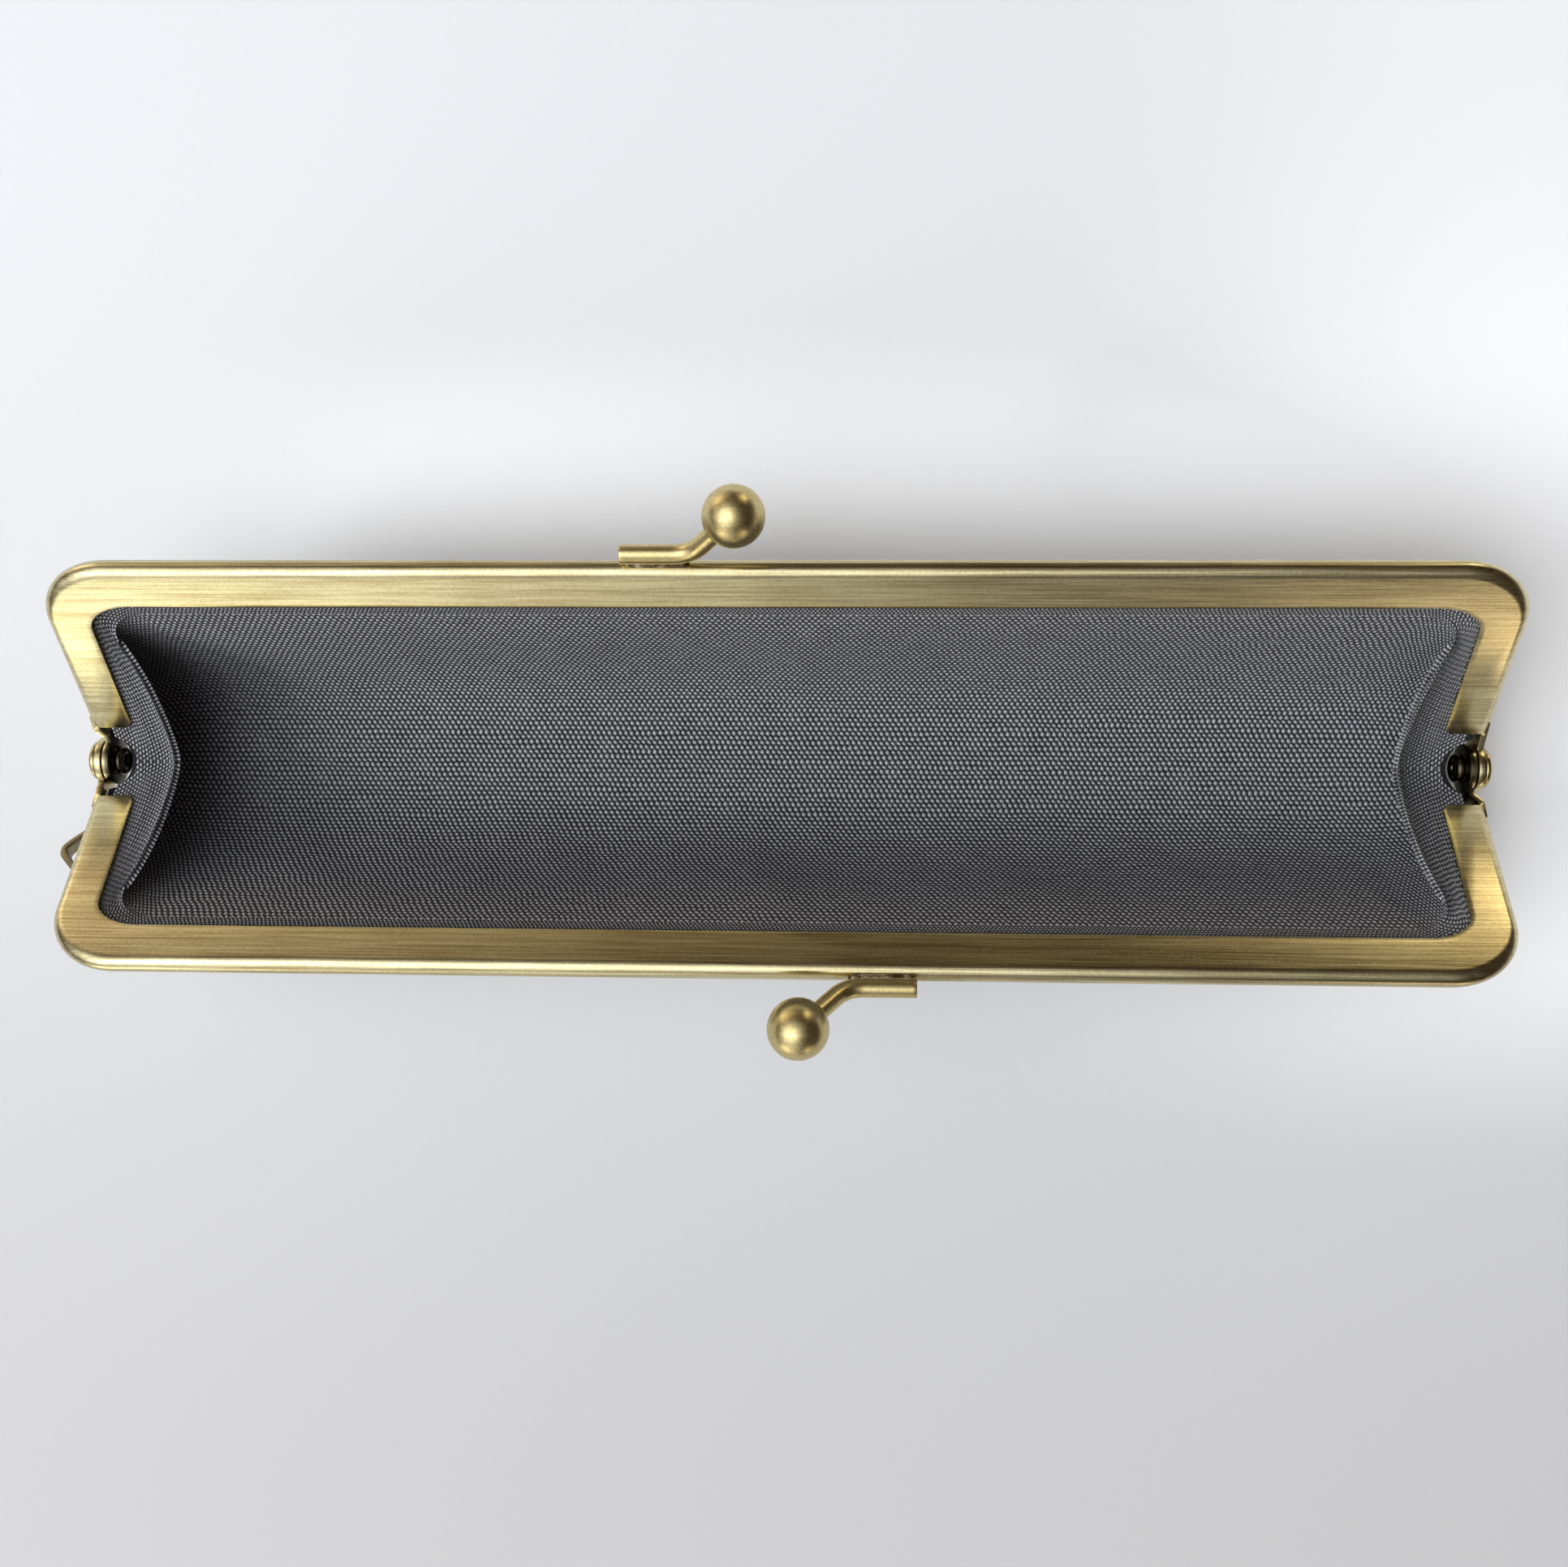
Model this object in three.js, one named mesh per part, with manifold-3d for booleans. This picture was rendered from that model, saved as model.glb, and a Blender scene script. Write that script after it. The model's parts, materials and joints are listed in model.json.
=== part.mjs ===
// Kiss-lock pen case, lying open with its mouth up. Millimetres, +Z up.
// X runs along the case, +Y is the rear half of the frame and -Y the front half.
// The origin is the middle of the flat patch that the cloth rests on.
// Each half of the frame is drawn closed, upright in the plane y = 0, with its hinge axis
// along X through its own origin, and is then tilted open about that axis.

import * as THREE from "three";
import { mergeVertices } from "three/addons/utils/BufferGeometryUtils.js";
import Module from "manifold-3d";

// Frame: the bent channel of each half
const FRAME_LENGTH = 185;
const FRAME_HEIGHT = 31.5;
const OPEN_ANGLE_DEG = 51;
const CHANNEL_DEPTH = 5.75;
const CHANNEL_THICKNESS = 3;
const CHANNEL_SHEET = 0.6;
const MATING_GAP = 0.15;
const ARM_END_HEIGHT = 5.8;
const OUTER_CORNER_LENGTH = 9.5;
const OUTER_CORNER_HEIGHT = 8.5;
const INNER_CORNER_LENGTH = 6;
const INNER_CORNER_HEIGHT = 3.7;
const FLANGE_CHAMFER = 0.6;
const FLANGE_CHAMFER_HEIGHT = 0.9;

// Hinge: the web of each arm runs on as a tab that ends in an eye
const TAB_THICKNESS = 0.8;
const TAB_OVERLAP = 1.5;
const NECK_WIDTH = 2;
const NECK_FOOT_INSET = 0.15;
const NECK_OUTER_FOOT_DEG = 0;
const NECK_INNER_FOOT_DEG = 90;
const EYE_RADIUS = 3.25;
const OUTER_EYE_INSET = 0.15;
const EYE_SIDE_GAP = 0.3;
const JOG_HEIGHT = 1.5;
const JOG_CLEARANCE = 0.5;
const PIN_CLEARANCE = 0.3;

// Rivets
const RIVET_SHANK_RADIUS = 1.3;
const RIVET_HEAD_RADIUS = 2.7;
const RIVET_HEAD_HEIGHT = 1.3;
const RIVET_HEAD_RIM = 0.35;
const RIVET_CLENCH_RADIUS = 2;
const RIVET_CLENCH_LENGTH = 1;
const RIVET_CLENCH_CHAMFER = 0.5;
const RIVET_BORE_RADIUS = 0.8;
const RIVET_BORE_DEPTH = 1.8;
const RIVET_BORE_LIP_RADIUS = 1.2;
const RIVET_BORE_LIP_DEPTH = 0.25;

// Clasp: a ball on a bent rod, soldered on the rim of each half
const BALL_RADIUS = 3.75;
const BALL_PASSING_GAP = 0.3;
const BALL_LEAN = 1;
const BALL_RISE = 8.2;
const STEM_RADIUS = 1.2;
const STEM_FOOT_LENGTH = 8.6;
const STEM_BEND_RUN = 5.7;
const STEM_BEND_LENGTH = 2.2;
const STEM_SEAT_ANGLE_DEG = 10;
const STEM_SOCKET_DEPTH = 2;
const SOLDER_GAP = 0.3;

// Strap loop: a bent strip under one arm of the front half
const LOOP_STRIP_THICKNESS = 0.9;
const LOOP_STRIP_WIDTH = 2;
const LOOP_REACH = 4.5;
const LOOP_HALF_SPAN = 6.2;
const LOOP_CENTRE_HEIGHT = 12.3;
const LOOP_FOOT_INSET = 1.5;
const LOOP_TIP_ROUNDING = 1;

// Paper cord that wedges the cloth in each channel
const CORD_RADIUS = 0.6;
const CORD_CLEARANCE = 0.3;
const CORD_END_INSET = 0.6;

// Cloth layers, from the inside out
const LINING_THICKNESS = 0.4;
const INTERLINING_THICKNESS = 0.3;
const OUTER_THICKNESS = 0.6;
const LAYER_GAP = 0.3;
const MOUTH_GAP = 0.5;

// Section of the pouch across its length: a trough below the two bars
const POUCH_DEPTH_BELOW_HINGE = 7;
const WALL_ANGLE_DEG = 61;
const WALL_HANDLE = 12;
const FLOOR_HANDLE = 8;
const FLOOR_HALF_WIDTH = 4;
const SADDLE_HEIGHT = 1.8;

// Ends of the pouch, measured inwards from the ends of its mouth. The heights of the folds
// are shares of the wall's curve, which runs from 0 at the mouth to 1 at the floor.
const FOLD_REACH = 3.1;
const FOLD_SHARE = 0.13;
const FOLD_END_SHARE = 0.75;
const FOLD_RUN = 12;
const RIDGE_REACH = 4.6;
const RIDGE_SHARE = 0.11;
const RIDGE_END_SHARE = 0.8;
const RIDGE_SHARPNESS = 5;
const END_FLOOR_REACH = 11;
const END_FLOOR_SHARE = 0.58;
const FLOOR_CORNER_LENGTH = 9;
const RIM_TURN_HALF_WIDTH = 5;

// Facets
const RIM_FACETS = 8;
const CORNER_FACETS = 7;
const ROUND_FACETS = 16;
const CORD_FACETS = 6;
const DOME_FACETS = 4;
const BALL_RINGS = 10;
const STEM_STEPS = 16;
const STEM_QUARTER_FACETS = 2;
const LOOP_TIP_FACETS = 4;
const SIDE_COLUMNS = 4;
const CORNER_COLUMNS = 4;
const END_COLUMNS = 6;
const FOLD_ROWS = 2;
const LINING_WALL_ROWS = 7;
const SHELL_WALL_ROWS = 6;

// How far a cutting shape runs past what it cuts, and how close welded points lie
const CUT_MARGIN = 1;
const WELD_DISTANCE = 1e-5;

// Worked out from the sizes above
const OPEN_ANGLE = THREE.MathUtils.degToRad(OPEN_ANGLE_DEG);
const HALF_LENGTH = FRAME_LENGTH / 2;
const RIM_RADIUS = CHANNEL_THICKNESS / 2;
const CHANNEL_MIDDLE = MATING_GAP + RIM_RADIUS;
const INNER_EYE_INSET = OUTER_EYE_INSET + TAB_THICKNESS + EYE_SIDE_GAP;
const JOG_BOTTOM = EYE_RADIUS + JOG_CLEARANCE;
const RIVET_CLENCH_INSET = INNER_EYE_INSET + TAB_THICKNESS + EYE_SIDE_GAP;
const RIVET_HEAD_INSET = OUTER_EYE_INSET - EYE_SIDE_GAP;
const BALL_OFFSET = BALL_RADIUS + BALL_PASSING_GAP / 2;
const INTERLINING_INSIDE = LINING_THICKNESS + LAYER_GAP;
const INTERLINING_OUTSIDE = INTERLINING_INSIDE + INTERLINING_THICKNESS;
const OUTER_INSIDE = INTERLINING_OUTSIDE + LAYER_GAP;
const OUTER_OUTSIDE = OUTER_INSIDE + OUTER_THICKNESS;
const HINGE_HEIGHT = POUCH_DEPTH_BELOW_HINGE + OUTER_OUTSIDE;
const MOUTH_INSET = CHANNEL_DEPTH + MOUTH_GAP;

const wasm = await Module();
wasm.setup();

// Closed meshes and solids

function meshGeometry(points, triangles) {
  const geometry = new THREE.BufferGeometry();
  geometry.setAttribute("position", new THREE.Float32BufferAttribute(points.flat(), 3));
  geometry.setIndex(signedVolume(points, triangles) < 0 ? reversed(triangles) : triangles.flat());
  return geometry;
}

function signedVolume(points, triangles) {
  let volume = 0;
  for (const [a, b, c] of triangles) {
    const corner = new THREE.Vector3(...points[a]);
    const cross = new THREE.Vector3(...points[b]).cross(new THREE.Vector3(...points[c]));
    volume += corner.dot(cross) / 6;
  }
  return volume;
}

function reversed(triangles) {
  return triangles.flatMap(([a, b, c]) => [a, c, b]);
}

function toSolid(geometry) {
  const bare = geometry.clone();
  bare.deleteAttribute("normal");
  bare.deleteAttribute("uv");
  const welded = mergeVertices(bare, WELD_DISTANCE);
  return new wasm.Manifold(new wasm.Mesh({
    numProp: 3,
    vertProperties: new Float32Array(welded.attributes.position.array),
    triVerts: new Uint32Array(welded.index.array),
  }));
}

function fromSolid(solid) {
  const mesh = solid.getMesh();
  const geometry = new THREE.BufferGeometry();
  geometry.setAttribute("position", new THREE.BufferAttribute(mesh.vertProperties, 3));
  geometry.setIndex(new THREE.BufferAttribute(mesh.triVerts, 1));
  return geometry;
}

// Two triangles for each cell between neighbouring rings of points
function stitchRings(ringCount, ringSize, offset = 0) {
  const triangles = [];
  for (let ring = 0; ring + 1 < ringCount; ring += 1) {
    for (let i = 0; i < ringSize; i += 1) {
      const next = (i + 1) % ringSize;
      const a = offset + ring * ringSize + i;
      const b = offset + ring * ringSize + next;
      triangles.push([a, b, b + ringSize], [a, b + ringSize, a + ringSize]);
    }
  }
  return triangles;
}

// A ring whose second half runs back beside its first, closed by a ladder of cells
function ladderCap(start, ringSize, flipped) {
  const triangles = [];
  for (let i = 0; i + 1 < ringSize / 2; i += 1) {
    const near = start + i;
    const far = start + ringSize - 1 - i;
    triangles.push([near, far, near + 1], [near + 1, far, far - 1]);
  }
  return flipped ? triangles.map(([a, b, c]) => [a, c, b]) : triangles;
}

// Frame channel: its centre line is an arm, a corner, the bar, a corner and an arm

function channelStations(depth, armEnd) {
  const share = depth / CHANNEL_DEPTH;
  const cornerLength = THREE.MathUtils.lerp(OUTER_CORNER_LENGTH, INNER_CORNER_LENGTH, share);
  const cornerHeight = THREE.MathUtils.lerp(OUTER_CORNER_HEIGHT, INNER_CORNER_HEIGHT, share);
  const side = HALF_LENGTH - depth;
  const top = FRAME_HEIGHT - depth;
  const half = [[side, armEnd]];
  for (let i = 0; i <= CORNER_FACETS; i += 1) {
    const angle = (Math.PI / 2) * (i / CORNER_FACETS);
    half.push([
      side - cornerLength * (1 - Math.cos(angle)),
      top - cornerHeight * (1 - Math.sin(angle)),
    ]);
  }
  const mirrored = half.map(([x, z]) => [-x, z]).reverse();
  return [...half, ...mirrored];
}

// Sweeps a closed outline of [depth, outward] points along the frame
function sweepAlongFrame(outline, armEndAt) {
  const lines = outline.map(([depth]) => channelStations(depth, armEndAt(depth)));
  const points = [];
  for (let station = 0; station < lines[0].length; station += 1) {
    outline.forEach(([, outward], i) => {
      const [x, z] = lines[i][station];
      points.push([x, outward, z]);
    });
  }
  const size = outline.length;
  const stations = lines[0].length;
  const triangles = [
    ...stitchRings(stations, size),
    ...ladderCap(0, size, false),
    ...ladderCap((stations - 1) * size, size, true),
  ];
  return meshGeometry(points, triangles);
}

function channelOutline() {
  const outer = [
    [CHANNEL_DEPTH, MATING_GAP],
    [CHANNEL_DEPTH - FLANGE_CHAMFER, MATING_GAP],
  ];
  const inner = outer.map(([depth]) => [depth, MATING_GAP + CHANNEL_SHEET]);
  for (let i = 0; i <= RIM_FACETS; i += 1) {
    const angle = Math.PI * (i / RIM_FACETS);
    const bore = RIM_RADIUS - CHANNEL_SHEET;
    outer.push([
      RIM_RADIUS - RIM_RADIUS * Math.sin(angle),
      CHANNEL_MIDDLE - RIM_RADIUS * Math.cos(angle),
    ]);
    inner.push([RIM_RADIUS - bore * Math.sin(angle), CHANNEL_MIDDLE - bore * Math.cos(angle)]);
  }
  const farSide = MATING_GAP + CHANNEL_THICKNESS;
  for (const depth of [CHANNEL_DEPTH - FLANGE_CHAMFER, CHANNEL_DEPTH]) {
    outer.push([depth, farSide]);
    inner.push([depth, farSide - CHANNEL_SHEET]);
  }
  return [...outer, ...inner.reverse()];
}

function flangeEnd(depth) {
  const intoChamfer = Math.max(0, depth - (CHANNEL_DEPTH - FLANGE_CHAMFER)) / FLANGE_CHAMFER;
  return ARM_END_HEIGHT + FLANGE_CHAMFER_HEIGHT * intoChamfer;
}

// Outline in [y, z] extruded along X between two places
function extrudeAlongX(shape, from, to) {
  const geometry = new THREE.ExtrudeGeometry(shape, {
    depth: to - from,
    bevelEnabled: false,
    curveSegments: ROUND_FACETS,
  });
  geometry.rotateY(Math.PI / 2);
  geometry.rotateX(Math.PI / 2);
  geometry.translate(from, 0, 0);
  return geometry;
}

// Where the neck of a tab meets its eye, just inside the eye's rim
function neckFoot(angleDeg) {
  const angle = THREE.MathUtils.degToRad(angleDeg);
  const radius = EYE_RADIUS - NECK_FOOT_INSET;
  return new THREE.Vector2(radius * Math.cos(angle), radius * Math.sin(angle));
}

// Tab with its eye, on the arm at x = side * HALF_LENGTH
function hingeTab(side, eyeInset) {
  const jogTop = JOG_BOTTOM + JOG_HEIGHT;
  const top = ARM_END_HEIGHT + TAB_OVERLAP;
  const bottom = -EYE_RADIUS - CUT_MARGIN;
  const start = OUTER_EYE_INSET;
  const strip = new THREE.Shape([
    [start, top], [start, jogTop], [eyeInset, JOG_BOTTOM], [eyeInset, bottom],
    [eyeInset + TAB_THICKNESS, bottom], [eyeInset + TAB_THICKNESS, JOG_BOTTOM],
    [start + TAB_THICKNESS, jogTop], [start + TAB_THICKNESS, top],
  ].map(([inset, height]) => new THREE.Vector2(side * (HALF_LENGTH - inset), height)));
  const reach = EYE_RADIUS + CHANNEL_THICKNESS;
  const bentStrip = new THREE.ExtrudeGeometry(strip, { depth: 2 * reach, bevelEnabled: false });
  bentStrip.rotateX(Math.PI / 2);
  bentStrip.translate(0, reach, 0);

  const inner = side * (HALF_LENGTH - eyeInset - TAB_THICKNESS - CUT_MARGIN);
  const outer = side * (HALF_LENGTH + CUT_MARGIN);
  const from = Math.min(inner, outer);
  const to = Math.max(inner, outer);
  const disc = new THREE.Shape().absarc(0, 0, EYE_RADIUS, 0, 2 * Math.PI);
  const neck = new THREE.Shape([
    new THREE.Vector2(CHANNEL_MIDDLE - NECK_WIDTH / 2, top),
    new THREE.Vector2(CHANNEL_MIDDLE + NECK_WIDTH / 2, top),
    neckFoot(NECK_OUTER_FOOT_DEG),
    neckFoot(NECK_INNER_FOOT_DEG),
  ]);
  const hole = new THREE.Shape().absarc(0, 0, RIVET_SHANK_RADIUS + PIN_CLEARANCE, 0, 2 * Math.PI);
  const outline = toSolid(extrudeAlongX(disc, from, to)).add(toSolid(extrudeAlongX(neck, from, to)));
  return toSolid(bentStrip).intersect(outline).subtract(toSolid(extrudeAlongX(hole, from, to)));
}

// The tab at +X carries the rivet's head and is the outer one, the tab at -X lies inside
function frameChannel() {
  const channel = toSolid(sweepAlongFrame(channelOutline(), flangeEnd));
  const outerTab = hingeTab(1, OUTER_EYE_INSET);
  const innerTab = hingeTab(-1, INNER_EYE_INSET);
  return fromSolid(channel.add(outerTab).add(innerTab));
}

// Domed head outside, hollow clenched end inside; turned about X at the +X hinge
function rivet() {
  const headBack = HALF_LENGTH - RIVET_HEAD_INSET;
  const clenchFront = HALF_LENGTH - RIVET_CLENCH_INSET;
  const end = clenchFront - RIVET_CLENCH_LENGTH;
  const profile = [[0, headBack + RIVET_HEAD_HEIGHT]];
  for (let i = 1; i <= DOME_FACETS; i += 1) {
    const angle = (Math.PI / 2) * (i / DOME_FACETS);
    profile.push([
      RIVET_HEAD_RADIUS * Math.sin(angle),
      headBack + THREE.MathUtils.lerp(RIVET_HEAD_RIM, RIVET_HEAD_HEIGHT, Math.cos(angle)),
    ]);
  }
  profile.push(
    [RIVET_HEAD_RADIUS, headBack],
    [RIVET_SHANK_RADIUS, headBack],
    [RIVET_SHANK_RADIUS, clenchFront],
    [RIVET_CLENCH_RADIUS, clenchFront],
    [RIVET_CLENCH_RADIUS, end + RIVET_CLENCH_CHAMFER],
    [RIVET_BORE_LIP_RADIUS, end],
    [RIVET_BORE_RADIUS, end + RIVET_BORE_LIP_DEPTH],
    [RIVET_BORE_RADIUS, end + RIVET_BORE_DEPTH],
    [0, end + RIVET_BORE_DEPTH],
  );
  const points = profile.reverse().map(([radius, along]) => new THREE.Vector2(radius, along));
  const geometry = new THREE.LatheGeometry(points, ROUND_FACETS);
  geometry.rotateZ(-Math.PI / 2);
  return fromSolid(toSolid(geometry));
}

// Clasp

function claspPoints() {
  const seat = THREE.MathUtils.degToRad(STEM_SEAT_ANGLE_DEG);
  const standoff = RIM_RADIUS + SOLDER_GAP + STEM_RADIUS;
  const outward = CHANNEL_MIDDLE - standoff * Math.sin(seat);
  const height = FRAME_HEIGHT - RIM_RADIUS + standoff * Math.cos(seat);
  const ball = new THREE.Vector3(-BALL_OFFSET, -BALL_LEAN, FRAME_HEIGHT + BALL_RISE);
  const corner = new THREE.Vector3(ball.x - STEM_BEND_RUN, outward, height);
  const foot = new THREE.Vector3(corner.x - STEM_FOOT_LENGTH, outward, height);
  const rise = ball.clone().sub(corner).normalize();
  return { ball, corner, foot, rise };
}

function claspStem() {
  const { ball, corner, foot, rise } = claspPoints();
  const bendStart = corner.clone().add(new THREE.Vector3(-STEM_BEND_LENGTH, 0, 0));
  const bendEnd = corner.clone().addScaledVector(rise, STEM_BEND_LENGTH);
  const end = ball.clone().addScaledVector(rise, STEM_SOCKET_DEPTH - BALL_RADIUS);
  const path = new THREE.CurvePath();
  path.add(new THREE.LineCurve3(foot, bendStart));
  path.add(new THREE.QuadraticBezierCurve3(bendStart, corner, bendEnd));
  path.add(new THREE.LineCurve3(bendEnd, end));
  const section = new THREE.Shape().absarc(0, 0, STEM_RADIUS, 0, 2 * Math.PI);
  return new THREE.ExtrudeGeometry(section, {
    extrudePath: path,
    steps: STEM_STEPS,
    curveSegments: 2 * STEM_QUARTER_FACETS,
  });
}

function claspBall() {
  const { ball, rise } = claspPoints();
  const sphere = new THREE.SphereGeometry(BALL_RADIUS, ROUND_FACETS, BALL_RINGS);
  const bottom = STEM_SOCKET_DEPTH + SOLDER_GAP - BALL_RADIUS;
  const radius = STEM_RADIUS + SOLDER_GAP;
  const length = STEM_SOCKET_DEPTH + SOLDER_GAP + CUT_MARGIN;
  const socket = new THREE.CylinderGeometry(radius, radius, length, ROUND_FACETS);
  const turn = new THREE.Quaternion().setFromUnitVectors(new THREE.Vector3(0, 1, 0), rise);
  const centre = rise.clone().multiplyScalar(bottom - length / 2);
  socket.applyQuaternion(turn);
  socket.translate(centre.x, centre.y, centre.z);
  const geometry = fromSolid(toSolid(sphere).subtract(toSolid(socket)));
  geometry.translate(ball.x, ball.y, ball.z);
  return geometry;
}

// Chevron of strip whose two feet lie under the outer flange of an arm
function strapLoop() {
  const foot = HALF_LENGTH - LOOP_FOOT_INSET;
  const tip = HALF_LENGTH + LOOP_REACH;
  const slope = LOOP_HALF_SPAN / (tip - foot);
  const inset = LOOP_STRIP_THICKNESS * Math.hypot(1, 1 / slope);
  const across = LOOP_STRIP_THICKNESS * Math.hypot(1, slope);
  const middle = LOOP_CENTRE_HEIGHT;
  const shape = new THREE.Shape();
  shape.moveTo(foot, middle - LOOP_HALF_SPAN);
  shape.lineTo(tip - LOOP_TIP_ROUNDING, middle - slope * LOOP_TIP_ROUNDING);
  shape.quadraticCurveTo(tip, middle, tip - LOOP_TIP_ROUNDING, middle + slope * LOOP_TIP_ROUNDING);
  shape.lineTo(foot, middle + LOOP_HALF_SPAN);
  shape.lineTo(foot, middle + LOOP_HALF_SPAN - across);
  shape.lineTo(tip - inset, middle);
  shape.lineTo(foot, middle - LOOP_HALF_SPAN + across);
  const geometry = new THREE.ExtrudeGeometry(shape, {
    depth: LOOP_STRIP_WIDTH,
    bevelEnabled: false,
    curveSegments: LOOP_TIP_FACETS,
  });
  geometry.rotateX(Math.PI / 2);
  geometry.translate(0, MATING_GAP + CHANNEL_THICKNESS + SOLDER_GAP + LOOP_STRIP_WIDTH, 0);
  return geometry;
}

function paperCord() {
  const depth = CHANNEL_SHEET + CORD_CLEARANCE + CORD_RADIUS;
  const outline = [];
  for (let i = 0; i < CORD_FACETS; i += 1) {
    const angle = (2 * Math.PI * (i + 0.5)) / CORD_FACETS;
    outline.push([
      depth + CORD_RADIUS * Math.cos(angle),
      CHANNEL_MIDDLE + CORD_RADIUS * Math.sin(angle),
    ]);
  }
  return sweepAlongFrame(outline, () => ARM_END_HEIGHT + CORD_END_INSET);
}

// Pouch: rings of points from the mouth down to the floor, in the hinge's own frame

const WALL_ANGLE = THREE.MathUtils.degToRad(WALL_ANGLE_DEG);

function mouthEdge() {
  const along = FRAME_HEIGHT - MOUTH_INSET;
  const outward = MATING_GAP + CHANNEL_SHEET;
  return new THREE.Vector2(
    along * Math.sin(OPEN_ANGLE) + outward * Math.cos(OPEN_ANGLE),
    along * Math.cos(OPEN_ANGLE) - outward * Math.sin(OPEN_ANGLE),
  );
}

const mouth = mouthEdge();
const wall = new THREE.CubicBezierCurve(
  mouth,
  new THREE.Vector2(
    mouth.x - WALL_HANDLE * Math.cos(WALL_ANGLE),
    mouth.y - WALL_HANDLE * Math.sin(WALL_ANGLE),
  ),
  new THREE.Vector2(FLOOR_HALF_WIDTH + FLOOR_HANDLE, -POUCH_DEPTH_BELOW_HINGE),
  new THREE.Vector2(FLOOR_HALF_WIDTH, -POUCH_DEPTH_BELOW_HINGE),
);

// Height of a point as a share of the wall's, from the saddle at the hinge to the bar
function heightShare(acrossShare) {
  const depth = POUCH_DEPTH_BELOW_HINGE;
  const softening = SADDLE_HEIGHT / mouth.y;
  const soft = Math.hypot(acrossShare, softening) + 1 - Math.hypot(1, softening);
  return (depth + mouth.y * soft) / (depth + mouth.y);
}

// One quarter of a ring in plan, from the middle of the side to the middle of the end
function quarterRing(halfLength, halfWidth, cornerLength, cornerWidth) {
  const points = [];
  for (let i = 0; i < SIDE_COLUMNS; i += 1) {
    points.push([(halfLength - cornerLength) * (i / SIDE_COLUMNS), halfWidth]);
  }
  for (let i = 0; i < CORNER_COLUMNS; i += 1) {
    const angle = (Math.PI / 2) * (i / CORNER_COLUMNS);
    points.push([
      halfLength - cornerLength * (1 - Math.sin(angle)),
      halfWidth - cornerWidth * (1 - Math.cos(angle)),
    ]);
  }
  for (let i = 0; i <= END_COLUMNS; i += 1) {
    points.push([halfLength, (halfWidth - cornerWidth) * (1 - i / END_COLUMNS)]);
  }
  return points;
}

// The whole ring starts beside the middle of the left end, so that its first half runs along
// the rear and its second half comes back along the front
function wholeRing(quarter) {
  const rearRight = quarter;
  const frontRight = quarter.slice(0, -1).reverse().map(([x, y]) => [x, -y]);
  const frontLeft = quarter.slice(1).map(([x, y]) => [-x, -y]);
  const rearLeft = quarter.slice(1, -1).reverse().map(([x, y]) => [-x, y]);
  const ring = [...rearRight, ...frontRight, ...frontLeft, ...rearLeft];
  const start = ring.length - rearLeft.length;
  return [...ring.slice(start), ...ring.slice(0, start)];
}

// Levels of a layer, from the mouth to the floor. Each end is folded inwards: the fold grows
// down to its crest and dies away below it, and further down the ends run in to a shorter floor.
function pouchLevels(reach, crest, end, wallRows) {
  const shares = [];
  for (let row = 0; row < FOLD_ROWS; row += 1) {
    shares.push(crest * (row / FOLD_ROWS));
  }
  for (let row = 0; row <= wallRows; row += 1) {
    shares.push(THREE.MathUtils.lerp(crest, 1, row / wallRows));
  }
  return shares.map((share) => {
    const above = Math.sqrt(share / crest);
    const below = Math.max(0, (end - share) / (end - crest));
    const low = Math.max(0, (share - END_FLOOR_SHARE) / (1 - END_FLOOR_SHARE));
    return {
      share,
      fold: reach * Math.min(above, below ** 2),
      shorten: END_FLOOR_REACH * low ** 2,
    };
  });
}

function pouchRing({ share, fold, shorten }) {
  const section = wall.getPoint(share);
  const cornerLength = THREE.MathUtils.lerp(INNER_CORNER_LENGTH, FLOOR_CORNER_LENGTH, share);
  const mouthCornerWidth = INNER_CORNER_HEIGHT * Math.sin(OPEN_ANGLE);
  const cornerWidth = Math.min(mouthCornerWidth, section.x / 2);
  const length = HALF_LENGTH - MOUTH_INSET - shorten;
  const quarter = quarterRing(length, section.x, cornerLength, cornerWidth);
  return wholeRing(quarter).map(([x, y]) => {
    const across = Math.abs(y) / section.x;
    const height = (section.y + POUCH_DEPTH_BELOW_HINGE) * heightShare(across);
    const nearEnd = THREE.MathUtils.smoothstep(Math.abs(x), length - FOLD_RUN, length);
    const pull = fold * (1 - across ** RIDGE_SHARPNESS) * nearEnd;
    return new THREE.Vector3(x - Math.sign(x) * pull, y, height - POUCH_DEPTH_BELOW_HINGE);
  });
}

// Outward direction at each point: square to the channel at the mouth, down at the floor,
// and square to the cloth between them, evened out from level to level
function outwardDirections(rings) {
  const size = rings[0].length;
  const last = rings.length - 1;
  const raw = rings.map((ring, row) => ring.map((point, i) => {
    if (row === 0) {
      const side = THREE.MathUtils.clamp(point.y / RIM_TURN_HALF_WIDTH, -1, 1);
      const tilted = new THREE.Vector3(0, side * Math.cos(OPEN_ANGLE), -Math.sin(OPEN_ANGLE));
      return tilted.normalize();
    }
    if (row === last) {
      return new THREE.Vector3(0, 0, -1);
    }
    const along = ring[(i + 1) % size].clone().sub(ring[(i + size - 1) % size]);
    return along.cross(rings[row + 1][i].clone().sub(rings[row - 1][i])).normalize();
  }));
  return raw.map((directions, row) => directions.map((direction, i) => {
    if (row === 0 || row === last) {
      return direction;
    }
    return direction.clone().add(raw[row - 1][i]).add(raw[row + 1][i]).normalize();
  }));
}

function pouchSkin(rings, directions, offset) {
  return rings.flatMap((ring, row) => ring.map((point, i) => {
    const moved = point.clone().addScaledVector(directions[row][i], offset);
    return [moved.x, moved.y, moved.z];
  }));
}

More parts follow.
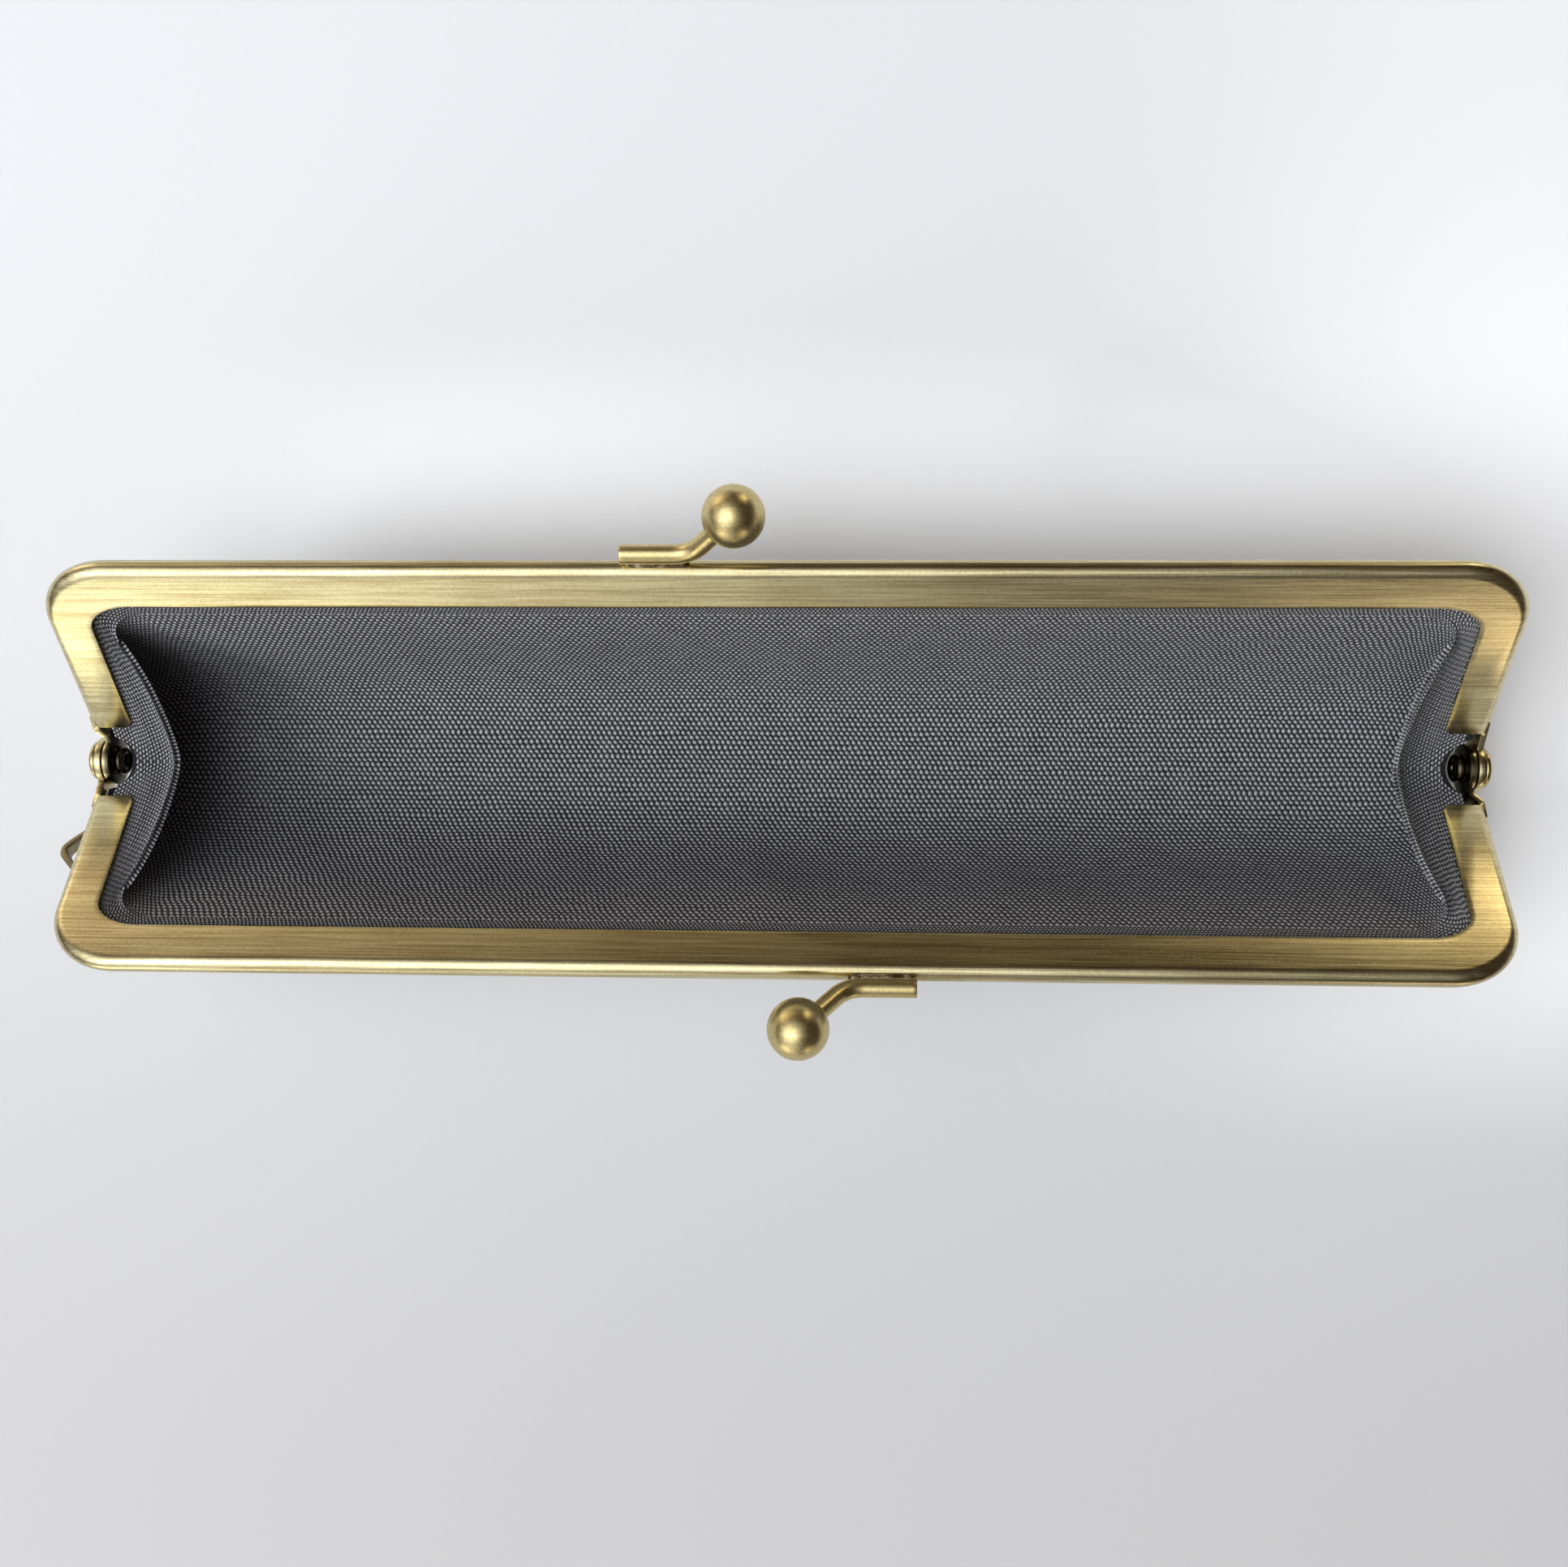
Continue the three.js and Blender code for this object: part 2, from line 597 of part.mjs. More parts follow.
// Closed shell between two offsets from the pouch's inner surface
function pouchShell(levels, inside, outside) {
  const rings = levels.map(pouchRing);
  const directions = outwardDirections(rings);
  const size = rings[0].length;
  const count = rings.length * size;
  const points = [
    ...pouchSkin(rings, directions, inside),
    ...pouchSkin(rings, directions, outside),
  ];
  const innerWall = stitchRings(rings.length, size).map(([a, b, c]) => [a, c, b]);
  const outerWall = stitchRings(rings.length, size, count);
  const rim = [];
  for (let i = 0; i < size; i += 1) {
    const next = (i + 1) % size;
    rim.push([i, next, count + next], [i, count + next, count + i]);
  }
  const triangles = [
    ...innerWall,
    ...outerWall,
    ...rim,
    ...ladderCap(count - size, size, false),
    ...ladderCap(2 * count - size, size, true),
  ];
  const geometry = meshGeometry(points, triangles);
  geometry.translate(0, 0, HINGE_HEIGHT);
  return geometry;
}

// Materials

function metal(color, roughness) {
  return new THREE.MeshStandardMaterial({ color, roughness, metalness: 1 });
}

function cloth(color) {
  return new THREE.MeshStandardMaterial({ color, roughness: 0.95, metalness: 0 });
}

function piece(name, geometry, material) {
  geometry.computeVertexNormals();
  const mesh = new THREE.Mesh(geometry, material);
  mesh.name = name;
  return mesh;
}

// Assembly

const BRASS = 0xb09a5c;
const BRASS_LIGHT = 0xbfa766;
const BRASS_DARK = 0x7d6d42;

// One half, tilted open about the hinge axis, with its rivet at +X
function frameHalf(name, rivetName) {
  const half = new THREE.Group();
  half.position.z = HINGE_HEIGHT;
  half.rotation.x = -OPEN_ANGLE;
  half.add(
    piece(`${name}_frame_channel`, frameChannel(), metal(BRASS, 0.35)),
    piece(rivetName, rivet(), metal(BRASS_LIGHT, 0.3)),
    piece(`${name}_clasp_stem`, claspStem(), metal(BRASS, 0.3)),
    piece(`${name}_clasp_ball`, claspBall(), metal(BRASS_LIGHT, 0.25)),
    piece(`${name}_paper_cord`, paperCord(), cloth(0xc8b894)),
  );
  return half;
}

function penCase() {
  const rear = frameHalf("rear", "right_rivet");
  const frontHalf = frameHalf("front", "left_rivet");
  frontHalf.add(piece("strap_loop", strapLoop(), metal(BRASS_DARK, 0.4)));
  const front = new THREE.Group();
  front.rotation.z = Math.PI;
  front.add(frontHalf);

  const liningLevels = pouchLevels(RIDGE_REACH, RIDGE_SHARE, RIDGE_END_SHARE, LINING_WALL_ROWS);
  const shellLevels = pouchLevels(FOLD_REACH, FOLD_SHARE, FOLD_END_SHARE, SHELL_WALL_ROWS);
  const lining = pouchShell(liningLevels, 0, LINING_THICKNESS);
  const interlining = pouchShell(shellLevels, INTERLINING_INSIDE, INTERLINING_OUTSIDE);
  const outer = pouchShell(shellLevels, OUTER_INSIDE, OUTER_OUTSIDE);

  const group = new THREE.Group();
  group.add(
    rear,
    front,
    piece("lining", lining, cloth(0x55565c)),
    piece("interlining", interlining, cloth(0xd8d6ce)),
    piece("outer_fabric", outer, cloth(0x232a3a)),
  );
  return group;
}

export default penCase();
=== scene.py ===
# Kiss-lock pen case, lying open: the looks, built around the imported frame.
# A half's shapes are worked out closed, in millimetres (x along the case, y outwards, z up from
# the hinge line), then tilted open, turned to their side and stored in metres.

import json
import math

import bmesh
import bpy
import numpy as np
from mathutils import Matrix, Vector, noise


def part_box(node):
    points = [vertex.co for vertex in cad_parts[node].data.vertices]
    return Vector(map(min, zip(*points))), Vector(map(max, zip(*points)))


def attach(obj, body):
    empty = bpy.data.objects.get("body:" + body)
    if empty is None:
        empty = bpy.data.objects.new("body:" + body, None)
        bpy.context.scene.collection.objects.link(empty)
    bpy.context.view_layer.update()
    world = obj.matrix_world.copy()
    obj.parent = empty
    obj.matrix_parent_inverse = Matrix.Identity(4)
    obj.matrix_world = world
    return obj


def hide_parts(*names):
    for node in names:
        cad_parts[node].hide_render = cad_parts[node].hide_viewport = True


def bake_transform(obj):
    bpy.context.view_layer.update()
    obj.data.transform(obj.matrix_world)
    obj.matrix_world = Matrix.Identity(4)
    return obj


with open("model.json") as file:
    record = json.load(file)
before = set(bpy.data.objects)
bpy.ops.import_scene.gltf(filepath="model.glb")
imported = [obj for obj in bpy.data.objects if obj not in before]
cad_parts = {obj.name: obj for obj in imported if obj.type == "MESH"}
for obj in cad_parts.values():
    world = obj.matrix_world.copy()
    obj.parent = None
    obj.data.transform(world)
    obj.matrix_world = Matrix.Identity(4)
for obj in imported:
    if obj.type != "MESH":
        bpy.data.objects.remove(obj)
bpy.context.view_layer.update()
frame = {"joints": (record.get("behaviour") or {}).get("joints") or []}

MM = 0.001

# Taken from the frame
REAR_HINGE = next(joint for joint in frame["joints"] if joint["name"] == "rear_hinge")
HINGE_HEIGHT = REAR_HINGE["pos_m"][2] / MM
OPEN_ANGLE = math.radians(REAR_HINGE["range_deg"][1])
HALF_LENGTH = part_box("rear_frame_channel")[1].x / MM

# Frame channel
FRAME_HEIGHT = 31.5
CHANNEL_DEPTH = 5.75
CHANNEL_THICKNESS = 3
CHANNEL_SHEET = 0.6
MATING_GAP = 0.15
ARM_END_HEIGHT = 5.8
OUTER_CORNER = (9.5, 8.5)
INNER_CORNER = (6, 3.7)
FLANGE_CHAMFER = (0.6, 0.9)
RIM_RADIUS = CHANNEL_THICKNESS / 2
CHANNEL_MIDDLE = MATING_GAP + RIM_RADIUS
RIM_FACETS = 20
CORNER_FACETS = 28
EDGE_BEVEL = 0.09

# Hinge tabs
TAB_THICKNESS = 0.8
TAB_OVERLAP = 1.5
NECK_WIDTH = 2
EYE_RADIUS = 3.25
EYE_FACETS = 64
EYE_SIDE_GAP = 0.3
OUTER_EYE_INSET = 0.15
INNER_EYE_INSET = OUTER_EYE_INSET + TAB_THICKNESS + EYE_SIDE_GAP
JOG_BOTTOM = EYE_RADIUS + 0.5
JOG_TOP = JOG_BOTTOM + 1.5
JOG_STEPS = 8
PIN_HOLE_RADIUS = 1.6

# Rivets
RIVET_HEAD_INSET = OUTER_EYE_INSET - EYE_SIDE_GAP
RIVET_CLENCH_INSET = INNER_EYE_INSET + TAB_THICKNESS + EYE_SIDE_GAP
RIVET_SHANK_RADIUS = 1.3
RIVET_HEAD_RADIUS = 2.7
RIVET_HEAD_HEIGHT = 1.3
RIVET_HEAD_RIM = 0.35
RIVET_CLENCH_RADIUS = 2
RIVET_CLENCH_LENGTH = 1
RIVET_BORE_RADIUS = 0.8
RIVET_BORE_DEPTH = 1.8
RIVET_BORE_CONE = 0.3
RIVET_HEAD_CHAMFER = 0.1
RIVET_CLENCH_CHAMFER = 0.08
RIVET_HEAD_STEPS = 16
RIVET_FACETS = 56

# Clasp
BALL_RADIUS = 3.75
BALL_OFFSET = 3.9
BALL_LEAN = 1
BALL_RISE = 8.2
STEM_RADIUS = 1.2
STEM_FOOT_LENGTH = 8.6
STEM_BEND_RUN = 5.7
STEM_BEND_LENGTH = 2.2
STEM_SEAT_ANGLE = math.radians(10)
STEM_SOCKET_DEPTH = 2
BALL_DENT = 0.025
BALL_DENT_SCALE = 0.55
STEM_END_BEVEL = 0.12
SOLDER_GAP = 0.3
STEM_SOLDER_WIDTH = 0.62
STEM_SOLDER_FLARE = 0.28
STEM_SOLDER_HALF_DEPTH = 0.42
STEM_SOLDER_START = 0.35
STEM_SOLDER_END = 0.2
STEM_SOLDER_TAPER = 0.6
STEM_SOLDER_TIP = 0.25
STEM_SOLDER_WOBBLE = 0.22

# Strap loop
LOOP_THICKNESS = 0.9
LOOP_WIDTH = 2
LOOP_REACH = 4.5
LOOP_HALF_SPAN = 6.2
LOOP_CENTRE_HEIGHT = 12.3
LOOP_FOOT_INSET = 1.5
LOOP_BEND_LENGTH = 1.5
LOOP_EDGE_RADIUS = 0.22
LOOP_END_BEVEL = 0.08
LOOP_SOLDER_INSET = 0.9
LOOP_SOLDER_SHIFT = 0.35
LOOP_SOLDER_RADIUS = 1.25
LOOP_SOLDER_TAPER = 0.55
LOOP_SOLDER_WOBBLE = 0.12
LOOP_SOLDER_SINK = 0.05
LOOP_SOLDER_RISE = 0.35

# Paper cord in each channel
CORD_RADIUS = 0.6
CORD_DEPTH = CHANNEL_SHEET + 0.3 + CORD_RADIUS
CORD_STRANDS = 3
CORD_LAY = 5
CORD_STEP = 0.45
CORD_FACETS = 18
CORD_CORE = 0.93
CORD_LOBE = 0.07

# Pouch
POUCH_DEPTH = 7
WALL_ANGLE = math.radians(61)
WALL_HANDLE = 12
FLOOR_HANDLE = 8
FLOOR_HALF_WIDTH = 4
SADDLE_HEIGHT = 1.8
MOUTH_INSET = CHANNEL_DEPTH + 0.5
FOLD_RUN = 12
FOLD_RISE = 0.9
FOLD_FALL = 4
FOLD_SLOPE = 0.12
RIDGE_SHARPNESS = 3.5
RIDGE_RISE = 2
RIDGE_FALL_SHARE = 0.16
RIDGE_ROLL = 0.45
RIDGE_ROLL_RADIUS = 0.6
TOP_SHARE = 0.02
END_FLOOR_REACH = 11
END_FLOOR_SHARE = 0.58
FLOOR_CORNER_LENGTH = 9
POCKET_RADIUS = 3.6
NECK_HEIGHT = ARM_END_HEIGHT - 0.4
CHANNEL_MOUTH = CHANNEL_DEPTH - 0.15
SLACK_SLOW = 0.55
SLACK_QUICK = 0.22

# How finely the pouch is drawn
POCKET_COLUMNS = 14
END_COLUMNS = 26
CORNER_COLUMNS = 16
SIDE_COLUMNS = 80
TUCK_SHARES = (1, 0.75, 0.5, 0.25, 0)
FACET_ROWS = 13
ROLL_SHARE = 0.05
UNDER_RIDGE_ROWS = 9
WALL_ROWS = 32
FLOOR_SHARES = (0.75, 0.5, 0.25, 0)

# Weave
CLOTH_UV = "cloth_mm"
WEAVE_PITCH = (0.79, 1.32)
FACET_WEAVE = 1.5
ROLL_ROWS = 4
END_WEAVE = (70, 12)
END_CLIMB = 0.5


# Mesh helpers

def place(points, half):
    """Points of a closed half, in millimetres, tilted open into the row frame, in metres."""
    points = np.asarray(points, float)
    x, y, z = points[..., 0], points[..., 1], points[..., 2]
    c, s = math.cos(OPEN_ANGLE), math.sin(OPEN_ANGLE)
    sign = 1 if half == "rear" else -1
    placed = np.stack([sign * x, sign * (c * y + s * z), c * z - s * y + HINGE_HEIGHT], -1)
    return placed * MM


def linked(name, data):
    obj = bpy.data.objects.new(name, data)
    bpy.context.scene.collection.objects.link(obj)
    return obj


def new_object(name, vertices, faces, material):
    mesh = bpy.data.meshes.new(name)
    mesh.from_pydata([tuple(v) for v in vertices], [], [tuple(f) for f in faces])
    mesh.validate()
    mesh.materials.append(material)
    return linked(name, mesh)


def outward_faces(obj):
    """Turns the faces of a closed mesh outwards."""
    bm = bmesh.new()
    bm.from_mesh(obj.data)
    bmesh.ops.recalc_face_normals(bm, faces=bm.faces)
    bm.to_mesh(obj.data)
    bm.free()


def apply_modifiers(obj):
    graph = bpy.context.evaluated_depsgraph_get()
    mesh = bpy.data.meshes.new_from_object(obj.evaluated_get(graph))
    obj.modifiers.clear()
    obj.data = mesh


def bevel(obj, width, angle_deg=35):
    modifier = obj.modifiers.new("bevel", "BEVEL")
    modifier.width = width * MM
    modifier.segments = 2
    modifier.limit_method = "ANGLE"
    modifier.angle_limit = math.radians(angle_deg)
    apply_modifiers(obj)


def smooth(obj, angle_deg=40):
    """Shades an object smooth, but for edges sharper than an angle."""
    obj.data.shade_smooth()
    obj.data.set_sharp_from_angle(angle=math.radians(angle_deg))


def solid(name, points, faces, material, angle_deg):
    obj = new_object(name, points, faces, material)
    outward_faces(obj)
    smooth(obj, angle_deg)
    return obj


def ring_faces(rings, size, closed_rings=True, first=0):
    """Quads between rings of points that follow each other, from point number first on."""
    faces = []
    for ring in range(rings - 1):
        for i in range(size if closed_rings else size - 1):
            j = (i + 1) % size
            a = first + ring * size
            faces.append((a + i, a + j, a + size + j, a + size + i))
    return faces


def tube_faces(rings, size):
    """Faces of a tube of closed rings, with a cap on each end."""
    caps = [tuple(range(size)), tuple(range((rings - 1) * size, rings * size))]
    return ring_faces(rings, size) + caps


def tube(name, path, section, material, half):
    """A closed section carried along a path, square to it, with flat ends."""
    path = np.asarray(path, float)
    tangents = np.gradient(path, axis=0)
    tangents /= np.linalg.norm(tangents, axis=1)[:, None]
    side = np.cross(tangents, [0, 1, 0])
    side /= np.linalg.norm(side, axis=1)[:, None]
    up = np.cross(side, tangents)
    section = np.asarray(section, float)
    rings = path[:, None] + section[None, :, :1] * side[:, None] + section[None, :, 1:] * up[:, None]
    faces = tube_faces(len(path), len(section))
    obj = new_object(name, place(rings.reshape(-1, 3), half), faces, material)
    outward_faces(obj)
    return obj


def straight(start, end, count, endpoint=False):
    return [start + (end - start) * t for t in np.linspace(0, 1, count, endpoint=endpoint)]


def bend(start, corner, end, count):
    """Points of a rounded corner, without its last one."""
    return [(1 - t) ** 2 * start + 2 * t * (1 - t) * corner + t ** 2 * end
            for t in np.linspace(0, 1, count, endpoint=False)]


def circle(radius, count):
    angles = [2 * math.pi * i / count for i in range(count)]
    return [(radius * math.cos(a), radius * math.sin(a)) for a in angles]


def arc(centre, radius, start, end, steps):
    angles = [math.radians(start + (end - start) * i / steps) for i in range(steps + 1)]
    return [(centre[0] + radius * math.cos(a), centre[1] + radius * math.sin(a)) for a in angles]


def lathe_along_x(name, profile, count, material, half):
    """A closed profile of (radius, x), from axis to axis, turned about the hinge axis."""
    inner = profile[1:-1]
    points = [(profile[0][1], 0, 0)]
    for radius, x in inner:
        for i in range(count):
            angle = 2 * math.pi * i / count
            points.append((x, radius * math.cos(angle), radius * math.sin(angle)))
    points.append((profile[-1][1], 0, 0))
    faces = [(0, 1 + i, 1 + (i + 1) % count) for i in range(count)]
    faces += ring_faces(len(inner), count, first=1)
    last = len(points) - 1
    start = last - count
    faces += [(last, start + (i + 1) % count, start + i) for i in range(count)]
    obj = new_object(name, place(points, half), faces, material)
    outward_faces(obj)
    return obj


# Node helpers for materials

class Nodes:
    def __init__(self, tree):
        self.tree = tree
        tree.nodes.clear()

    def add(self, kind, **inputs):
        node = self.tree.nodes.new(kind)
        for key, value in inputs.items():
            self.set(node, key, value)
        return node

    def set(self, node, key, value):
        """Sets an input, or links it. A key is i0, i1 and so on, or the input's name."""
        numbered = key[0] == "i" and key[1:].isdigit()
        self.feed(node.inputs[int(key[1:]) if numbered else key.replace("_", " ")], value)

    def feed(self, socket, value):
        if isinstance(value, bpy.types.NodeSocket):
            self.tree.links.new(value, socket)
        else:
            socket.default_value = value

    def math(self, operation, a, b=0.0):
        node = self.add("ShaderNodeMath", i0=a, i1=b)
        node.operation = operation
        return node.outputs[0]

    def weighted(self, *terms):
        """The sum of values, each times its weight."""
        total = None
        for value, weight in terms:
            part = value if weight == 1 else self.math("MULTIPLY", value, weight)
            total = part if total is None else self.math("ADD", total, part)
        return total

    def vector(self, operation, a, b=(0, 0, 0)):
        node = self.add("ShaderNodeVectorMath", i0=a, i1=b)
        node.operation = operation
        return node.outputs[1 if operation == "DOT_PRODUCT" else 0]

    def stretch(self, vector, scale):
        return self.vector("MULTIPLY", vector, scale)

    def noise(self, vector, scale, detail=2.0, roughness=0.5):
        node = self.add("ShaderNodeTexNoise", Vector=vector, Scale=scale, Detail=detail,
                        Roughness=roughness)
        return node.outputs[0]

    def band(self, value, low, high, to_low=0.0, to_high=1.0):
        """A smooth step from to_low, where the value is low, to to_high, where it is high."""
        node = self.add("ShaderNodeMapRange", Value=value)
        node.interpolation_type = "SMOOTHSTEP"
        for index, number in enumerate((low, high, to_low, to_high), 1):
            node.inputs[index].default_value = number
        return node.outputs[0]

    def mix(self, share, a, b):
        node = self.tree.nodes.new("ShaderNodeMix")
        node.data_type = "RGBA"
        for index, value in ((0, share), (6, a), (7, b)):
            self.feed(node.inputs[index], value)
        return node.outputs[2]


def new_material(name):
    material = bpy.data.materials.new(name)
    material.use_nodes = True
    return material, Nodes(material.node_tree)


def rgb(r, g, b):
    return (r, g, b, 1.0)


def finish_material(nodes, **inputs):
    shader = nodes.add("ShaderNodeBsdfPrincipled", **inputs)
    output = nodes.add("ShaderNodeOutputMaterial")
    nodes.tree.links.new(shader.outputs[0], output.inputs[0])


# Painted shade in the hinge's hollow, laid on every brass: its strength, colour, reach across the
# inner eye, and the radii of its fade away from the hinge axis, in mm
HINGE_SHADE_STRENGTH = 0.92
HINGE_SHADE_COLOUR = (0.045, 0.036, 0.025)
HINGE_SHADE_ACROSS = (-0.6, 0.1)
HINGE_SHADE_RADII = (3.6, 5.6)


def hinge_painted_shade(nodes, place_in):
    """Painted shade in the hinge's hollow, as how dark the brass is made: most on the inner sides of
    the eyes and the rivets' ends.
    """
    x, y, z = nodes.add("ShaderNodeSeparateXYZ", Vector=place_in).outputs
    up = nodes.math("SUBTRACT", z, HINGE_HEIGHT * MM)
    squares = nodes.math("ADD", nodes.math("MULTIPLY", y, y), nodes.math("MULTIPLY", up, up))
    from_axis = nodes.math("SQRT", squares)
    inner, outer = ((HALF_LENGTH - INNER_EYE_INSET + reach) * MM for reach in HINGE_SHADE_ACROSS)
    near, far = (radius * MM for radius in HINGE_SHADE_RADII)
    return nodes.math("MULTIPLY", nodes.band(nodes.math("ABSOLUTE", x), inner, outer, HINGE_SHADE_STRENGTH, 0.0),
                      nodes.band(from_axis, near, far, 1.0, 0.0))


def brass(name, light, dark, roughness, streak, speckle=0.6, pitting=0.2, anisotropic=0.0):
    """Antique brass, brushed along x: streaks, speckles, a slow change of tone, and painted shade in
    the hinge's hollow.
    """
    cloudiness = 0.35
    material, nodes = new_material(name)
    place_in = nodes.add("ShaderNodeTexCoord").outputs["Object"]
    fine = nodes.noise(nodes.stretch(place_in, (90, 5200, 5200)), 1.0, 3.0)
    broad = nodes.noise(nodes.stretch(place_in, (25, 1500, 1500)), 1.0, 2.0)
    grain = nodes.noise(place_in, 2600, 2.0)
    cloud = nodes.noise(place_in, 60, 3.0)
    streaks = nodes.weighted((fine, 0.6), (broad, 0.4))
    tone = nodes.weighted((streaks, streak), (grain, speckle), (cloud, cloudiness))
    middle = 0.5 * (streak + speckle + cloudiness)
    colour = nodes.mix(nodes.band(tone, middle - 0.3, middle + 0.3), rgb(*dark), rgb(*light))
    # Painted shade: the brass is darkened round the inner eyes and the rivets' ends, where the hinge
    # lies in shade
    colour = nodes.mix(hinge_painted_shade(nodes, place_in), colour, rgb(*HINGE_SHADE_COLOUR))
    rough = nodes.math("ADD", nodes.math("MULTIPLY", streaks, 0.14), roughness - 0.07)
    height = nodes.weighted((streaks, 1), (grain, pitting))
    bump = nodes.add("ShaderNodeBump", Strength=0.3, Distance=0.00003, Height=height)
    along = nodes.add("ShaderNodeCombineXYZ", X=1.0)
    finish_material(nodes, Base_Color=colour, Metallic=1.0, Roughness=rough,
                    Anisotropic=anisotropic, Tangent=along.outputs[0], Normal=bump.outputs[0])
    return material


def woven(name, light, dark, slub, sheen):
    """Plain weave: staggered knots of yarn with dark holes between them."""
    material, nodes = new_material(name)
    uv = nodes.add("ShaderNodeUVMap")
    uv.uv_map = CLOTH_UV
    flat = uv.outputs[0]
    u, v, _ = nodes.add("ShaderNodeSeparateXYZ", Vector=flat).outputs
    wander = nodes.math("SUBTRACT", nodes.noise(nodes.stretch(flat, (0.12, 0.5, 0)), 1.0), 0.5)
    along, across = (
        nodes.math("MULTIPLY", nodes.weighted((socket, 1), (wander, 0.5)), 2 * math.pi / pitch)
        for socket, pitch in zip((u, v), WEAVE_PITCH))
    rising = nodes.math("COSINE", nodes.math("ADD", along, across))
    falling = nodes.math("COSINE", nodes.math("SUBTRACT", along, across))
    rows = nodes.math("COSINE", nodes.math("MULTIPLY", across, 2.0))
    knots = nodes.weighted((rising, 0.62), (falling, 0.42), (rows, 0.5))
    yarns = nodes.noise(nodes.stretch(flat, (0.35, 2.4, 0)), 1.0, 2.0)
    fibre = nodes.noise(flat, 9.0, 2.0)
    height = nodes.weighted((knots, 1), (yarns, slub), (fibre, 0.7))
    middle = 0.5 * (slub + 0.7)
    colour = nodes.mix(nodes.band(height, middle - 0.75, middle + 0.95), rgb(*dark), rgb(*light))
    bump = nodes.add("ShaderNodeBump", Strength=1.0, Distance=0.00016, Height=height)
    finish_material(nodes, Base_Color=colour, Roughness=0.88, Specular_IOR_Level=0.25,
                    Sheen_Weight=sheen, Sheen_Roughness=0.5, Normal=bump.outputs[0])
    return material


def fibrous(name, light, dark, scale):
    """Paper or pressed fibre: fine mottling only."""
    material, nodes = new_material(name)
    place_in = nodes.add("ShaderNodeTexCoord").outputs["Object"]
    mottle = nodes.noise(place_in, scale, 4.0, 0.6)
    colour = nodes.mix(nodes.band(mottle, 0.35, 0.65), rgb(*dark), rgb(*light))
    bump = nodes.add("ShaderNodeBump", Strength=0.5, Distance=0.00008, Height=mottle)
    finish_material(nodes, Base_Color=colour, Roughness=0.9, Normal=bump.outputs[0])
    return material


def solder_material():
    """Dull solder with brown blotches."""
    material, nodes = new_material("solder")
    place_in = nodes.add("ShaderNodeTexCoord").outputs["Object"]
    blotch = nodes.noise(place_in, 900, 3.0, 0.6)
    colour = nodes.mix(nodes.band(blotch, 0.42, 0.62), rgb(0.12, 0.085, 0.05), rgb(0.55, 0.49, 0.38))
    bump = nodes.add("ShaderNodeBump", Strength=0.8, Distance=0.0001, Height=blotch)
    finish_material(nodes, Base_Color=colour, Metallic=1.0, Roughness=0.42, Normal=bump.outputs[0])
    return material


FRAME_BRASS = brass(
    "frame_brass", (0.75, 0.68, 0.41), (0.41, 0.33, 0.17), roughness=0.24,
    streak=1.4, speckle=0.3, pitting=0.0, anisotropic=0.5)
CLASP_BRASS = brass(
    "clasp_brass", (0.72, 0.61, 0.31), (0.48, 0.37, 0.16), roughness=0.33, streak=0.45)
RIVET_BRASS = brass(
    "rivet_brass", (0.62, 0.52, 0.28), (0.36, 0.28, 0.14), roughness=0.22, streak=0.3)
LOOP_BRASS = brass(
    "loop_brass", (0.34, 0.30, 0.19), (0.16, 0.13, 0.08), roughness=0.32, streak=0.4)
SOLDER = solder_material()
LINING = woven("lining_weave", (0.44, 0.445, 0.48), (0.012, 0.012, 0.015), slub=0.8, sheen=0.08)
OUTER = woven("outer_weave", (0.032, 0.040, 0.066), (0.006, 0.008, 0.014), slub=1.0, sheen=0.10)
INTERLINING = fibrous("interlining_fibre", (0.62, 0.61, 0.57), (0.42, 0.41, 0.38), 900)
PAPER = fibrous("paper_cord", (0.60, 0.47, 0.30), (0.38, 0.28, 0.16), 1400)


# Frame channel

def corner_at(depth):
    """Length and height of a half's rounded corners at a depth inside its outline."""
    share = depth / CHANNEL_DEPTH
    return [outer + (inner - outer) * share for outer, inner in zip(OUTER_CORNER, INNER_CORNER)]


def channel_stations(depth, arm_end):
    """The line round a half at a depth inside its outline, as (x, z), from arm end to arm end."""
    length, height = corner_at(depth)
    side = HALF_LENGTH - depth
    top = FRAME_HEIGHT - depth
    half = [(side, arm_end)]
    for i in range(CORNER_FACETS + 1):
        angle = math.pi / 2 * i / CORNER_FACETS
        half.append((side - length * (1 - math.cos(angle)), top - height * (1 - math.sin(angle))))
    return half + [(-x, z) for x, z in reversed(half)]


def sweep_along_frame(outline):
    """Vertices and faces of a closed outline of (depth, outward) carried along the frame."""
    lines = [channel_stations(depth, flange_end(depth)) for depth, _ in outline]
    stations, size = len(lines[0]), len(outline)
    points = []
    for station in range(stations):
        for line, (_, outward) in zip(lines, outline):
            x, z = line[station]
            points.append((x, outward, z))
    faces = ring_faces(stations, size)
    for start in (0, (stations - 1) * size):
        for i in range(size // 2 - 1):
            far = start + size - 1 - i
            faces.append((start + i, start + i + 1, far - 1, far))
    return points, faces


